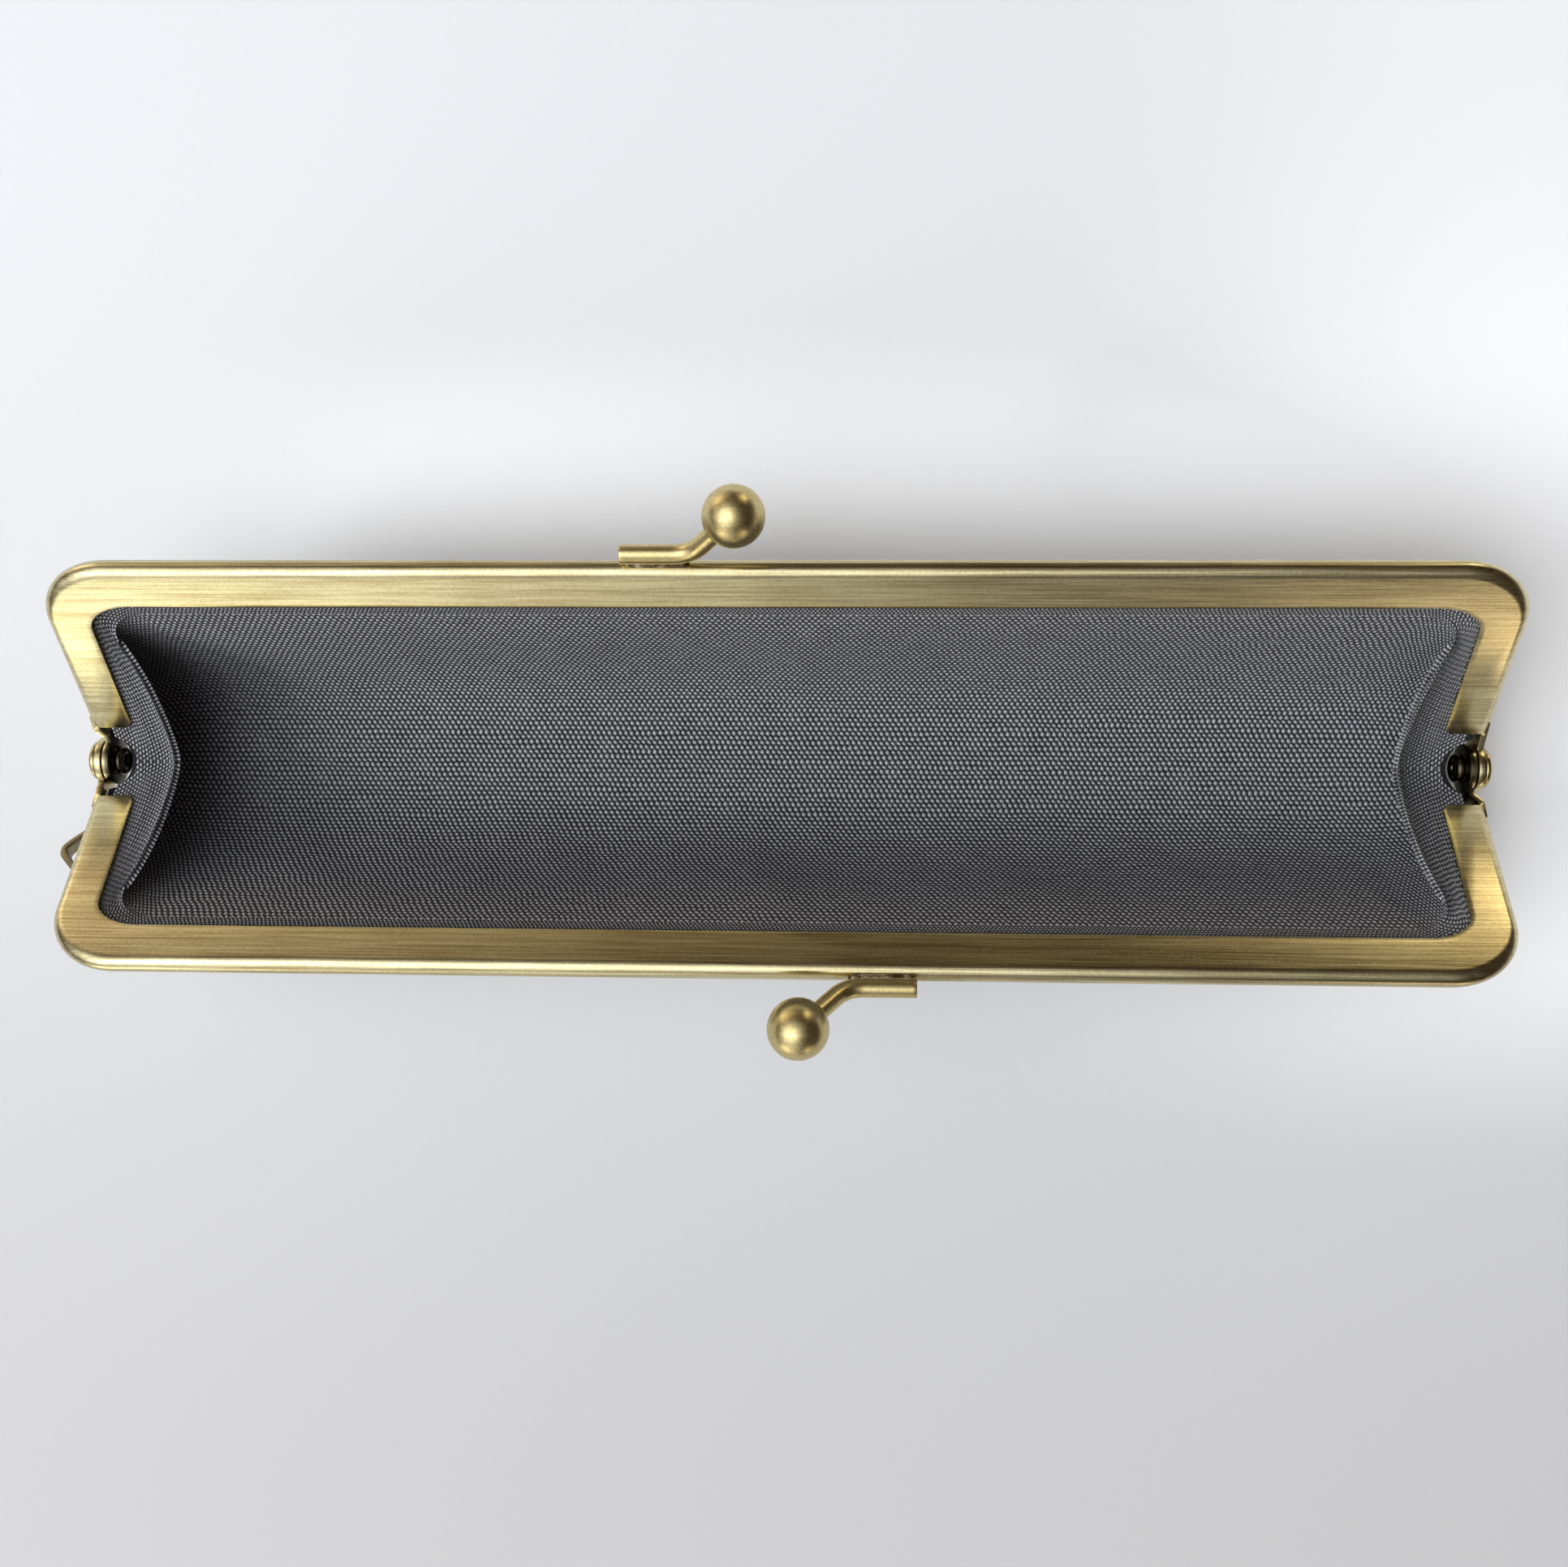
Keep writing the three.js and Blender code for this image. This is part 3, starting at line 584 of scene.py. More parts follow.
def channel_outline():
    """The channel's section as (depth, outward): its outer side, then its inner side back."""
    chamfer = CHANNEL_DEPTH - FLANGE_CHAMFER[0]
    outer = [(CHANNEL_DEPTH, MATING_GAP), (chamfer, MATING_GAP)]
    inner = [(depth, outward + CHANNEL_SHEET) for depth, outward in outer]
    bore = RIM_RADIUS - CHANNEL_SHEET
    for i in range(RIM_FACETS + 1):
        angle = math.pi * i / RIM_FACETS
        for line, radius in ((outer, RIM_RADIUS), (inner, bore)):
            line.append((RIM_RADIUS - radius * math.sin(angle),
                         CHANNEL_MIDDLE - radius * math.cos(angle)))
    far_side = MATING_GAP + CHANNEL_THICKNESS
    outer += [(chamfer, far_side), (CHANNEL_DEPTH, far_side)]
    inner += [(chamfer, far_side - CHANNEL_SHEET), (CHANNEL_DEPTH, far_side - CHANNEL_SHEET)]
    return outer + inner[::-1]


def flange_end(depth):
    """Height of an arm's end at a depth: the flanges' corners are cut off."""
    into = max(0, depth - (CHANNEL_DEPTH - FLANGE_CHAMFER[0])) / FLANGE_CHAMFER[0]
    return ARM_END_HEIGHT + FLANGE_CHAMFER[1] * into


def tab_inset(height, eye_inset):
    """A tab's inset from the half's end: the inner eye's tab steps inwards below the arm."""
    share = smoothstep((height - JOG_BOTTOM) / (JOG_TOP - JOG_BOTTOM))
    return eye_inset + (OUTER_EYE_INSET - eye_inset) * share


def tab_outline():
    """Neck and eye in (outward, height), counter-clockwise."""
    top = ARM_END_HEIGHT + TAB_OVERLAP
    points = [(CHANNEL_MIDDLE + NECK_WIDTH / 2, top), (CHANNEL_MIDDLE - NECK_WIDTH / 2, top)]
    for i in range(EYE_FACETS + 1):
        angle = math.radians(90) + math.radians(270) * i / EYE_FACETS
        points.append((EYE_RADIUS * math.cos(angle), EYE_RADIUS * math.sin(angle)))
    return points


def hinge_tab(side, eye_inset, half):
    """A neck with an eye for the rivet, at the lower end of an arm."""
    bm = bmesh.new()
    outline = [bm.verts.new((0, y, z)) for y, z in tab_outline()]
    hole = [bm.verts.new((0, y, z)) for y, z in circle(PIN_HOLE_RADIUS, EYE_FACETS)]
    for loop in (outline, hole):
        for a, b in zip(loop, loop[1:] + loop[:1]):
            bm.edges.new((a, b))
    bmesh.ops.triangle_fill(bm, edges=bm.edges[:], use_beauty=True, normal=(1, 0, 0))
    for step in range(JOG_STEPS + 1):
        height = JOG_BOTTOM + (JOG_TOP - JOG_BOTTOM) * step / JOG_STEPS
        geometry = bm.verts[:] + bm.edges[:] + bm.faces[:]
        bmesh.ops.bisect_plane(bm, geom=geometry, plane_co=(0, 0, height), plane_no=(0, 0, 1))
    flat = bm.verts[:]
    back = bmesh.ops.duplicate(bm, geom=bm.verts[:] + bm.edges[:] + bm.faces[:])
    twin = {v: back["vert_map"][v] for v in flat}
    rim = [e for e in bm.edges if e.is_boundary and e.verts[0] in twin and e.verts[1] in twin]
    for edge in rim:
        a, b = edge.verts
        bm.faces.new((a, b, twin[b], twin[a]))
    for vertex in flat:
        inset = tab_inset(vertex.co.z, eye_inset)
        vertex.co.x = side * (HALF_LENGTH - inset)
        twin[vertex].co.x = side * (HALF_LENGTH - inset - TAB_THICKNESS)
    bmesh.ops.recalc_face_normals(bm, faces=bm.faces)
    for vertex in bm.verts:
        vertex.co = place(vertex.co, half)
    mesh = bpy.data.meshes.new("tab")
    bm.to_mesh(mesh)
    bm.free()
    return linked("tab", mesh)


def frame_channel(half):
    """The bent channel with its two tabs. The one at +x in its own axes is the outer one."""
    points, faces = sweep_along_frame(channel_outline())
    obj = new_object(f"{half}_frame", place(points, half), faces, FRAME_BRASS)
    outward_faces(obj)
    for side, inset in ((1, OUTER_EYE_INSET), (-1, INNER_EYE_INSET)):
        tab = hinge_tab(side, inset, half)
        join = obj.modifiers.new("tab", "BOOLEAN")
        join.operation = "UNION"
        join.solver = "EXACT"
        join.object = tab
        apply_modifiers(obj)
        bpy.data.objects.remove(tab)
    bevel(obj, EDGE_BEVEL)
    smooth(obj)
    return obj


# Rivets

def rivet(name, half):
    """A domed head outside, a shank, and a clenched end inside with a rounded lip and a bore."""
    head_back = HALF_LENGTH - RIVET_HEAD_INSET
    clench_front = HALF_LENGTH - RIVET_CLENCH_INSET
    end = clench_front - RIVET_CLENCH_LENGTH
    bore_end = end + RIVET_BORE_DEPTH
    lip = (RIVET_CLENCH_RADIUS - RIVET_BORE_RADIUS) / 2
    profile = [(0, bore_end), (RIVET_BORE_RADIUS, bore_end - RIVET_BORE_CONE)]
    profile += arc((RIVET_BORE_RADIUS + lip, end + lip), lip, 180, 360, 14)
    profile += [
        (RIVET_CLENCH_RADIUS, clench_front - RIVET_CLENCH_CHAMFER),
        (RIVET_CLENCH_RADIUS - RIVET_CLENCH_CHAMFER, clench_front),
        (RIVET_SHANK_RADIUS, clench_front),
        (RIVET_SHANK_RADIUS, head_back),
        (RIVET_HEAD_RADIUS - RIVET_HEAD_CHAMFER, head_back),
        (RIVET_HEAD_RADIUS, head_back + RIVET_HEAD_CHAMFER),
    ]
    dome = RIVET_HEAD_HEIGHT - RIVET_HEAD_RIM
    for i in range(1, RIVET_HEAD_STEPS + 1):
        angle = math.pi / 2 * (1 - i / RIVET_HEAD_STEPS)
        radius = RIVET_HEAD_RADIUS * math.sin(angle) if i < RIVET_HEAD_STEPS else 0
        profile.append((radius, head_back + RIVET_HEAD_RIM + dome * math.cos(angle)))
    obj = lathe_along_x(name, profile, RIVET_FACETS, RIVET_BRASS, half)
    smooth(obj, 50)
    return obj


# Clasp

def clasp_points():
    """The ball's middle, the rod's bend and foot, and the direction from the bend to the ball."""
    standoff = RIM_RADIUS + SOLDER_GAP + STEM_RADIUS
    outward = CHANNEL_MIDDLE - standoff * math.sin(STEM_SEAT_ANGLE)
    height = FRAME_HEIGHT - RIM_RADIUS + standoff * math.cos(STEM_SEAT_ANGLE)
    ball = np.array([-BALL_OFFSET, -BALL_LEAN, FRAME_HEIGHT + BALL_RISE])
    corner = np.array([ball[0] - STEM_BEND_RUN, outward, height])
    foot = np.array([corner[0] - STEM_FOOT_LENGTH, outward, height])
    rise = (ball - corner) / np.linalg.norm(ball - corner)
    return ball, corner, foot, rise


def clasp_stem(half):
    ball, corner, foot, rise = clasp_points()
    start = corner - np.array([STEM_BEND_LENGTH, 0, 0])
    end = corner + rise * STEM_BEND_LENGTH
    top = ball - rise * (BALL_RADIUS - STEM_SOCKET_DEPTH)
    path = straight(foot, start, 12) + bend(start, corner, end, 24)
    path += straight(end, top, 10, endpoint=True)
    obj = tube(f"{half}_clasp_rod", path, circle(STEM_RADIUS, 40), CLASP_BRASS, half)
    bevel(obj, STEM_END_BEVEL, 60)
    smooth(obj, 50)
    return obj


def clasp_solder(half):
    """A fillet of solder between the foot of the rod and the rim, with an uneven edge."""
    _, corner, foot, _ = clasp_points()
    down = np.array([0, math.sin(STEM_SEAT_ANGLE), -math.cos(STEM_SEAT_ANGLE)])
    across = np.array([0, math.cos(STEM_SEAT_ANGLE), math.sin(STEM_SEAT_ANGLE)])
    rings, size = 46, 20
    stations = np.linspace(foot[0] + STEM_SOLDER_START, corner[0] - STEM_SOLDER_END, rings)
    points = []
    for x in stations:
        from_end = min(x - stations[0], stations[-1] - x)
        ends = min(1, from_end / STEM_SOLDER_TAPER + STEM_SOLDER_TIP)
        for side, level in circle(1, size):
            uneven = noise.noise(Vector((x * 1.7, 3 * side, 5 * level)))
            width = STEM_SOLDER_WIDTH + STEM_SOLDER_FLARE * level * level
            width = width * (1 + STEM_SOLDER_WOBBLE * uneven) * ends
            depth = STEM_RADIUS + SOLDER_GAP / 2 + STEM_SOLDER_HALF_DEPTH * level
            points.append(np.array([x, foot[1], foot[2]]) + down * depth + across * width * side)
    faces = tube_faces(rings, size)
    return solid(f"{half}_clasp_solder", place(points, half), faces, SOLDER, 70)


def clasp_ball(half):
    """A ball with very shallow dents."""
    ball, _, _, _ = clasp_points()
    bm = bmesh.new()
    bmesh.ops.create_icosphere(bm, subdivisions=5, radius=BALL_RADIUS)
    for vertex in bm.verts:
        dent = noise.noise(vertex.co * BALL_DENT_SCALE) * BALL_DENT
        vertex.co *= 1 + dent / BALL_RADIUS
    for vertex in bm.verts:
        vertex.co = place(ball + np.array(vertex.co), half)
    mesh = bpy.data.meshes.new(f"{half}_ball")
    bm.to_mesh(mesh)
    bm.free()
    mesh.materials.append(CLASP_BRASS)
    obj = linked(f"{half}_ball", mesh)
    outward_faces(obj)
    smooth(obj, 80)
    return obj


# Strap loop

def strap_loop():
    """A chevron of flat strip, drawn as the middle line of its lower leg and that line mirrored."""
    foot = HALF_LENGTH - LOOP_FOOT_INSET
    tip = HALF_LENGTH + LOOP_REACH
    slope = LOOP_HALF_SPAN / (tip - foot)
    half_thick, half_wide = LOOP_THICKNESS / 2, LOOP_WIDTH / 2
    unit = np.array([1, slope]) / math.hypot(1, slope)
    square = np.array([unit[1], -unit[0]])
    low_foot = np.array([foot, LOOP_CENTRE_HEIGHT - LOOP_HALF_SPAN]) - square * half_thick
    apex = np.array([tip - half_thick * math.hypot(1, 1 / slope), LOOP_CENTRE_HEIGHT])
    start = apex - unit * LOOP_BEND_LENGTH
    mirror = np.array([1, -1])
    lift = np.array([0, 2 * LOOP_CENTRE_HEIGHT])
    far_start, far_foot = start * mirror + lift, low_foot * mirror + lift
    line = straight(low_foot, start, 10) + bend(start, apex, far_start, 16)
    line += straight(far_start, far_foot, 10, endpoint=True)
    outward = MATING_GAP + CHANNEL_THICKNESS + SOLDER_GAP + half_wide
    path = [(x, outward, z) for x, z in line]
    section = []
    for sx, sy, turn in ((1, 1, 0), (-1, 1, 90), (-1, -1, 180), (1, -1, 270)):
        centre = (sx * (half_thick - LOOP_EDGE_RADIUS), sy * (half_wide - LOOP_EDGE_RADIUS))
        section += arc(centre, LOOP_EDGE_RADIUS, turn, turn + 90, 4)
    obj = tube("strap_loop_strip", path, section, LOOP_BRASS, "front")
    bevel(obj, LOOP_END_BEVEL, 60)
    smooth(obj, 50)
    return obj


def loop_solder(side):
    """Solder under the upper foot of the loop (side 1) or the lower one (side -1)."""
    height = LOOP_CENTRE_HEIGHT + side * (LOOP_HALF_SPAN - LOOP_SOLDER_INSET)
    top = MATING_GAP + CHANNEL_THICKNESS
    rows, size = 7, 28
    points = []
    for row in range(rows):
        level = row / (rows - 1)
        spread = LOOP_SOLDER_RADIUS - LOOP_SOLDER_TAPER * math.sin(math.pi / 2 * level)
        for along, up in circle(1, size):
            wobble = 1 + LOOP_SOLDER_WOBBLE * noise.noise(Vector((2 * along, 2 * up, side)))
            points.append((
                HALF_LENGTH - LOOP_FOOT_INSET + LOOP_SOLDER_SHIFT + spread * wobble * along,
                top - LOOP_SOLDER_SINK + (SOLDER_GAP + LOOP_SOLDER_RISE) * level,
                height + spread * wobble * up,
            ))
    name = "strap_loop_solder_upper" if side > 0 else "strap_loop_solder_lower"
    return solid(name, place(points, "front"), tube_faces(rows, size), SOLDER, 70)


# Paper cord

def paper_cord(half):
    """Twisted strands along the channel, drawn as one cord with a lobe for each strand."""
    stations = channel_stations(CORD_DEPTH, ARM_END_HEIGHT + CORD_RADIUS)
    corners = np.array([(x, CHANNEL_MIDDLE, z) for x, z in stations])
    steps = np.linalg.norm(np.diff(corners, axis=0), axis=1)
    run = np.concatenate([[0], np.cumsum(steps)])
    count = int(run[-1] / CORD_STEP)
    along = np.linspace(0, run[-1], count)
    path = np.stack([np.interp(along, run, corners[:, i]) for i in range(3)], 1)
    tangents = np.gradient(path, axis=0)
    tangents /= np.linalg.norm(tangents, axis=1)[:, None]
    outward = np.array([0, 1, 0])
    points = []
    for point, across, distance in zip(path, np.cross(tangents, outward), along):
        for i in range(CORD_FACETS):
            angle = 2 * math.pi * i / CORD_FACETS
            lobes = CORD_STRANDS * (angle + 2 * math.pi * distance / CORD_LAY)
            radius = CORD_RADIUS * (CORD_CORE + CORD_LOBE * math.cos(lobes))
            points.append(point + radius * (math.cos(angle) * across + math.sin(angle) * outward))
    return solid(f"{half}_cord", place(points, half), tube_faces(count, CORD_FACETS), PAPER, 60)


# Pouch

MOUTH = np.array([
    (FRAME_HEIGHT - MOUTH_INSET) * math.sin(OPEN_ANGLE)
    + (MATING_GAP + CHANNEL_SHEET) * math.cos(OPEN_ANGLE),
    (FRAME_HEIGHT - MOUTH_INSET) * math.cos(OPEN_ANGLE)
    - (MATING_GAP + CHANNEL_SHEET) * math.sin(OPEN_ANGLE),
])


def smoothstep(t):
    t = np.clip(t, 0, 1)
    return t * t * (3 - 2 * t)


def wall_point(t):
    """The lining's section from the mouth (t = 0) to the floor (t = 1), as (y, height)."""
    a, d = MOUTH, np.array([FLOOR_HALF_WIDTH, -POUCH_DEPTH])
    b = a - WALL_HANDLE * np.array([math.cos(WALL_ANGLE), math.sin(WALL_ANGLE)])
    c = d + np.array([FLOOR_HANDLE, 0])
    return (1 - t) ** 3 * a + 3 * t * (1 - t) ** 2 * b + 3 * t * t * (1 - t) * c + t ** 3 * d


def height_share(across):
    """Height above the floor, as a share of the section's, from the middle of an end outwards."""
    softening = SADDLE_HEIGHT / MOUTH[1]
    soft = np.hypot(across, softening) + 1 - math.hypot(1, softening)
    return (POUCH_DEPTH + MOUTH[1] * soft) / (POUCH_DEPTH + MOUTH[1])


def plan_columns():
    """The columns of a half, from the middle of the end at -x round to that at +x. Each is
    (side, part, t): part 0 runs up the end, 1 round the corner, 2 along the side."""
    pocket = POCKET_RADIUS / (FRAME_HEIGHT - CHANNEL_DEPTH - INNER_CORNER[1])
    turns = np.linspace(0, math.pi / 2, POCKET_COLUMNS, endpoint=False)
    quarter = [(0, pocket * math.sin(turn)) for turn in turns]
    quarter += [(0, t) for t in np.linspace(pocket, 1, END_COLUMNS, endpoint=False)]
    quarter += [(1, t) for t in np.linspace(0, 1, CORNER_COLUMNS, endpoint=False)]
    quarter += [(2, t) for t in np.linspace(0, 1, SIDE_COLUMNS)]
    left = [(-1, part, t) for part, t in quarter]
    right = [(1, part, t) for part, t in reversed(quarter[:-1])]
    return left + right


COLUMNS = plan_columns()
MIDDLE_COLUMN = len(COLUMNS) // 2


def plan_point(column, length, width, corner_length, corner_width):
    """A column's point on an outline of half a length by a width, with rounded corners."""
    side, part, t = column
    if part == 0:
        x, y = length, (width - corner_width) * t
    elif part == 1:
        angle = math.pi / 2 * t
        x = length - corner_length * (1 - math.cos(angle))
        y = width - corner_width * (1 - math.sin(angle))
    else:
        x, y = (length - corner_length) * (1 - t), width
    return side * x, y


def column_share(column, share, crest):
    """Share of the wall's curve for a row of a column: the crest runs up to the mouth at the
    corners of the frame."""
    _, part, t = column
    turned = 0.8 * t if part == 0 else 0.8 + 0.2 * t if part == 1 else 1
    top = TOP_SHARE + (crest - TOP_SHARE) * (1 - turned ** 6)
    if share < crest:
        return share * top / crest
    return top + (share - crest) * (1 - top) / (1 - crest)


def arm_height(y):
    """Height of the arms' mating faces above the hinge line, softened at the hinge."""
    slope = math.tan(OPEN_ANGLE)
    return np.hypot(y, SADDLE_HEIGHT * slope) / slope


def near_end(x, length):
    """0 along the case, rising to 1 over the last FOLD_RUN before the end at a length."""
    return smoothstep((np.abs(x) - (length - FOLD_RUN)) / FOLD_RUN)


def pouch_row(share, layer):
    """One row of the pouch in the row frame, with the hinge line at height 0. Each end is folded
    inwards, and the lining's fold rises to a ridge above the arms."""
    crest = layer["crest"]
    if share < crest:
        fold, lift = (share / crest) ** FOLD_RISE, (share / crest) ** 3
    else:
        fold = ((1 - share) / (1 - crest)) ** FOLD_FALL
        lift = max(0, 1 - (share - crest) / RIDGE_FALL_SHARE) ** 2
    row = []
    for column in COLUMNS:
        level = column_share(column, share, crest)
        section = wall_point(level)
        corner_length = INNER_CORNER[0] + (FLOOR_CORNER_LENGTH - INNER_CORNER[0]) * level
        corner_width = min(INNER_CORNER[1] * math.sin(OPEN_ANGLE), section[0] / 2)
        low = max(0, (level - END_FLOOR_SHARE) / (1 - END_FLOOR_SHARE))
        length = HALF_LENGTH - MOUTH_INSET - END_FLOOR_REACH * low ** 2
        x, y = plan_point(column, length, section[0], corner_length, corner_width)
        across = abs(y) / section[0]
        height = (section[1] + POUCH_DEPTH) * height_share(across) - POUCH_DEPTH
        strength = 1 - FOLD_SLOPE * across - (1 - FOLD_SLOPE) * across ** RIDGE_SHARPNESS
        strength *= near_end(x, length)
        if layer["ridged"]:
            height += (arm_height(y) + RIDGE_RISE - height) * lift * strength
        row.append((x - math.copysign(layer["reach"] * fold * strength, x), y, height))
    return np.array(row)


def to_open(points):
    """Points (x, outward, up) of a closed rear half, tilted open, with the hinge line at height 0."""
    c, s = math.cos(OPEN_ANGLE), math.sin(OPEN_ANGLE)
    return np.stack([points[:, 0], c * points[:, 1] + s * points[:, 2],
                     c * points[:, 2] - s * points[:, 1]], 1)


def tuck_row(share, layer):
    """A row inside the channel, from its mouth to the cloth's edge. Between the arms' ends the
    edge runs round the rivet in a pocket."""
    depth = CHANNEL_MOUTH + (layer["tuck_depth"] - CHANNEL_MOUTH) * share
    mouth = HALF_LENGTH - CHANNEL_MOUTH
    row = []
    for column in COLUMNS:
        side, part, _ = column
        x, up = plan_point(column, HALF_LENGTH - depth, FRAME_HEIGHT - depth, *corner_at(depth))
        if part == 0:
            hollow = math.sqrt(max(0, POCKET_RADIUS ** 2 - up ** 2))
            by_neck = side > 0 and up < NECK_HEIGHT
            edge_depth = layer["neck_depth" if by_neck else "tuck_depth"]
            edge = HALF_LENGTH - max(edge_depth, layer["pocket_inset"] - POCKET_RADIUS + hollow)
            x = side * (mouth + (edge - mouth) * share)
        row.append((x, layer["outward"] * smoothstep(up / POCKET_RADIUS), up))
    points = to_open(np.array(row))
    level = points[:, 1] / math.tan(OPEN_ANGLE)
    points[:, 2] += arm_height(points[:, 1]) - level
    return points


def grid_normals(grid):
    """Outward directions over a grid, evened out from point to point."""
    along = np.gradient(grid, axis=1)
    down = np.gradient(grid, axis=0)
    normals = np.cross(along, down)
    normals /= np.maximum(np.linalg.norm(normals, axis=2)[..., None], 1e-9)
    for _ in range(6):
        padded = np.pad(normals, ((1, 1), (1, 1), (0, 0)), "edge")
        normals = (padded[1:-1, 1:-1] * 2 + padded[:-2, 1:-1] + padded[2:, 1:-1]
                   + padded[1:-1, :-2] + padded[1:-1, 2:]) / 6
    normals[-1] = (0, 0, -1)
    normals[:, 0, 1] = 0
    normals[:, -1, 1] = 0
    return normals / np.linalg.norm(normals, axis=2)[..., None]


def arcs_from(grid, row):
    """Arc length down each column, counted from a row."""
    steps = np.linalg.norm(np.diff(grid, axis=0), axis=2)
    arcs = np.concatenate([np.zeros((1, grid.shape[1])), np.cumsum(steps, axis=0)])
    return arcs - arcs[row]


def row_lengths(grid):
    """Arc length along each row, counted from the middle column."""
    return arcs_from(grid.swapaxes(0, 1), MIDDLE_COLUMN).T


def slack(grid, arcs):
    """Shallow waves in the cloth, none at the channel or on the floor."""
    share = np.clip(arcs / arcs[-1], 0, 1)
    waves = np.zeros(grid.shape[:2])
    for index in np.ndindex(waves.shape):
        x, _, z = grid[index]
        slow = noise.noise(Vector((x * 0.035, z * 0.05, 2.0)))
        quick = noise.noise(Vector((x * 0.11 + z * 0.05, z * 0.09, 7.0)))
        waves[index] = SLACK_SLOW * slow + SLACK_QUICK * quick
    return waves * np.sin(math.pi * share) ** 1.5


def roll_of_ridge(grid, arcs, crest_row):
    """How far the lining stands proud where it turns over at the ridge."""
    distance = np.abs(arcs - arcs[crest_row])
    across = np.clip(grid[..., 1] / MOUTH[0], 0, 1)
    strength = near_end(grid[..., 0], HALF_LENGTH - MOUTH_INSET) * (1 - across ** 4)
    return RIDGE_ROLL * np.exp(-(distance / RIDGE_ROLL_RADIUS) ** 2) * strength


def pouch_grid(layer):
    """Rows from the tucked edge down to the middle of the floor, and which row is the crest."""
    crest = layer["crest"]
    rows = [tuck_row(share, layer) for share in TUCK_SHARES]
    crest_row = len(rows) + FACET_ROWS
    shares = list(np.linspace(TOP_SHARE, crest, FACET_ROWS, endpoint=False))
    shares += list(crest + ROLL_SHARE * np.linspace(0, 1, UNDER_RIDGE_ROWS, endpoint=False))
    shares += list(np.linspace(crest + ROLL_SHARE, 1, WALL_ROWS))
    rows += [pouch_row(share, layer) for share in shares]
    rows += [rows[-1] * (1, t, 1) for t in FLOOR_SHARES]
    return np.array(rows), crest_row


def border_of(rows, columns):
    """Point numbers round the edge of a grid."""
    border = [(0, c) for c in range(columns)] + [(r, columns - 1) for r in range(1, rows)]
    border += [(rows - 1, c) for c in range(columns - 2, -1, -1)]
    border += [(r, 0) for r in range(rows - 2, 0, -1)]
    return [r * columns + c for r, c in border]


def cloth_half(name, half, layer, grid, crest_row):
    """One half of a layer: a closed sheet between two offsets from the pouch's inner face."""
    arcs = arcs_from(grid, len(TUCK_SHARES))
    normals = grid_normals(grid)
    inner = slack(grid, arcs) + layer["inside"]
    outer = inner + layer["thickness"]
    if layer["ridged"]:
        inner = inner - roll_of_ridge(grid, arcs, crest_row)
    sides = [(grid + normals * offset[..., None]).reshape(-1, 3) for offset in (inner, outer)]
    points = np.concatenate(sides)
    if half == "front":
        points = points * (-1, -1, 1)
    points = (points + (0, 0, HINGE_HEIGHT)) * MM
    rows, columns = grid.shape[:2]
    count = rows * columns
    faces = ring_faces(rows, columns, closed_rings=False)
    faces += [f[::-1] for f in ring_faces(rows, columns, closed_rings=False, first=count)]
    border = border_of(rows, columns)
    for a, b in zip(border, border[1:] + border[:1]):
        faces.append((a, b, b + count, a + count))
    obj = new_object(name, points, faces, layer["material"])
    above, below = cloth_uvs(layer, grid, arcs, crest_row)
    add_cloth_uv(obj, half, above, below, crest_row + ROLL_ROWS)
    outward_faces(obj)
    smooth(obj, 70)
    blend_with_frame(obj)
    return obj


def cloth_uvs(layer, grid, arcs, crest_row):
    """Flat coordinates in millimetres for the faces above the ridge and for those below it. In the
    lining the weave above it follows the crest, and the weave below it runs on from the floor."""
    if not layer["ridged"]:
        even = np.stack([row_lengths(grid), arcs[-1] - arcs], -1)
        return even, even
    along_crest = np.broadcast_to(row_lengths(grid)[crest_row], arcs.shape)
    above = FACET_WEAVE * np.stack([along_crest, arcs[crest_row] - arcs], -1)
    x, y, z = np.moveaxis(grid, -1, 0)
    side_arcs = (arcs[-1] - arcs)[:, MIDDLE_COLUMN:MIDDLE_COLUMN + 1]
    across = np.clip(y / np.maximum(y.max(axis=1, keepdims=True), 1e-6), 0, 1)
    start, run = END_WEAVE
    climb = END_CLIMB * (z + POUCH_DEPTH) * (1 - across ** 4) * smoothstep((np.abs(x) - start) / run)
    below = np.stack([x + np.sign(x) * climb, side_arcs * across], -1)
    floor = len(FLOOR_SHARES) + 1
    below[-floor:, :, 1] = y[-floor:]
    return above, below


def add_cloth_uv(obj, half, above, below, last_above):
    """Gives each face its coordinates: above if none of its rows comes after last_above."""
    rows, columns = above.shape[:2]
    mesh = obj.data
    layer = mesh.uv_layers.new(name=CLOTH_UV)
    index = np.zeros(len(mesh.loops), np.int32)
    mesh.loops.foreach_get("vertex_index", index)
    index %= rows * columns
    starts = np.zeros(len(mesh.polygons), np.int32)
    totals = np.zeros(len(mesh.polygons), np.int32)
    mesh.polygons.foreach_get("loop_start", starts)
    mesh.polygons.foreach_get("loop_total", totals)
    lowest = np.repeat(np.maximum.reduceat(index // columns, starts), totals)
    chosen = np.where((lowest <= last_above)[:, None], above.reshape(-1, 2)[index],
                      below.reshape(-1, 2)[index])
    sign = 1 if half == "rear" else -1
    layer.data.foreach_set("uv", (sign * chosen).astype(np.float32).ravel())


def blend_with_frame(obj):
    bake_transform(obj)


# Assembly

def ride(obj, body, slot, *nodes):
    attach(obj, body)
    if nodes:
        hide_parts(*nodes)
    return obj


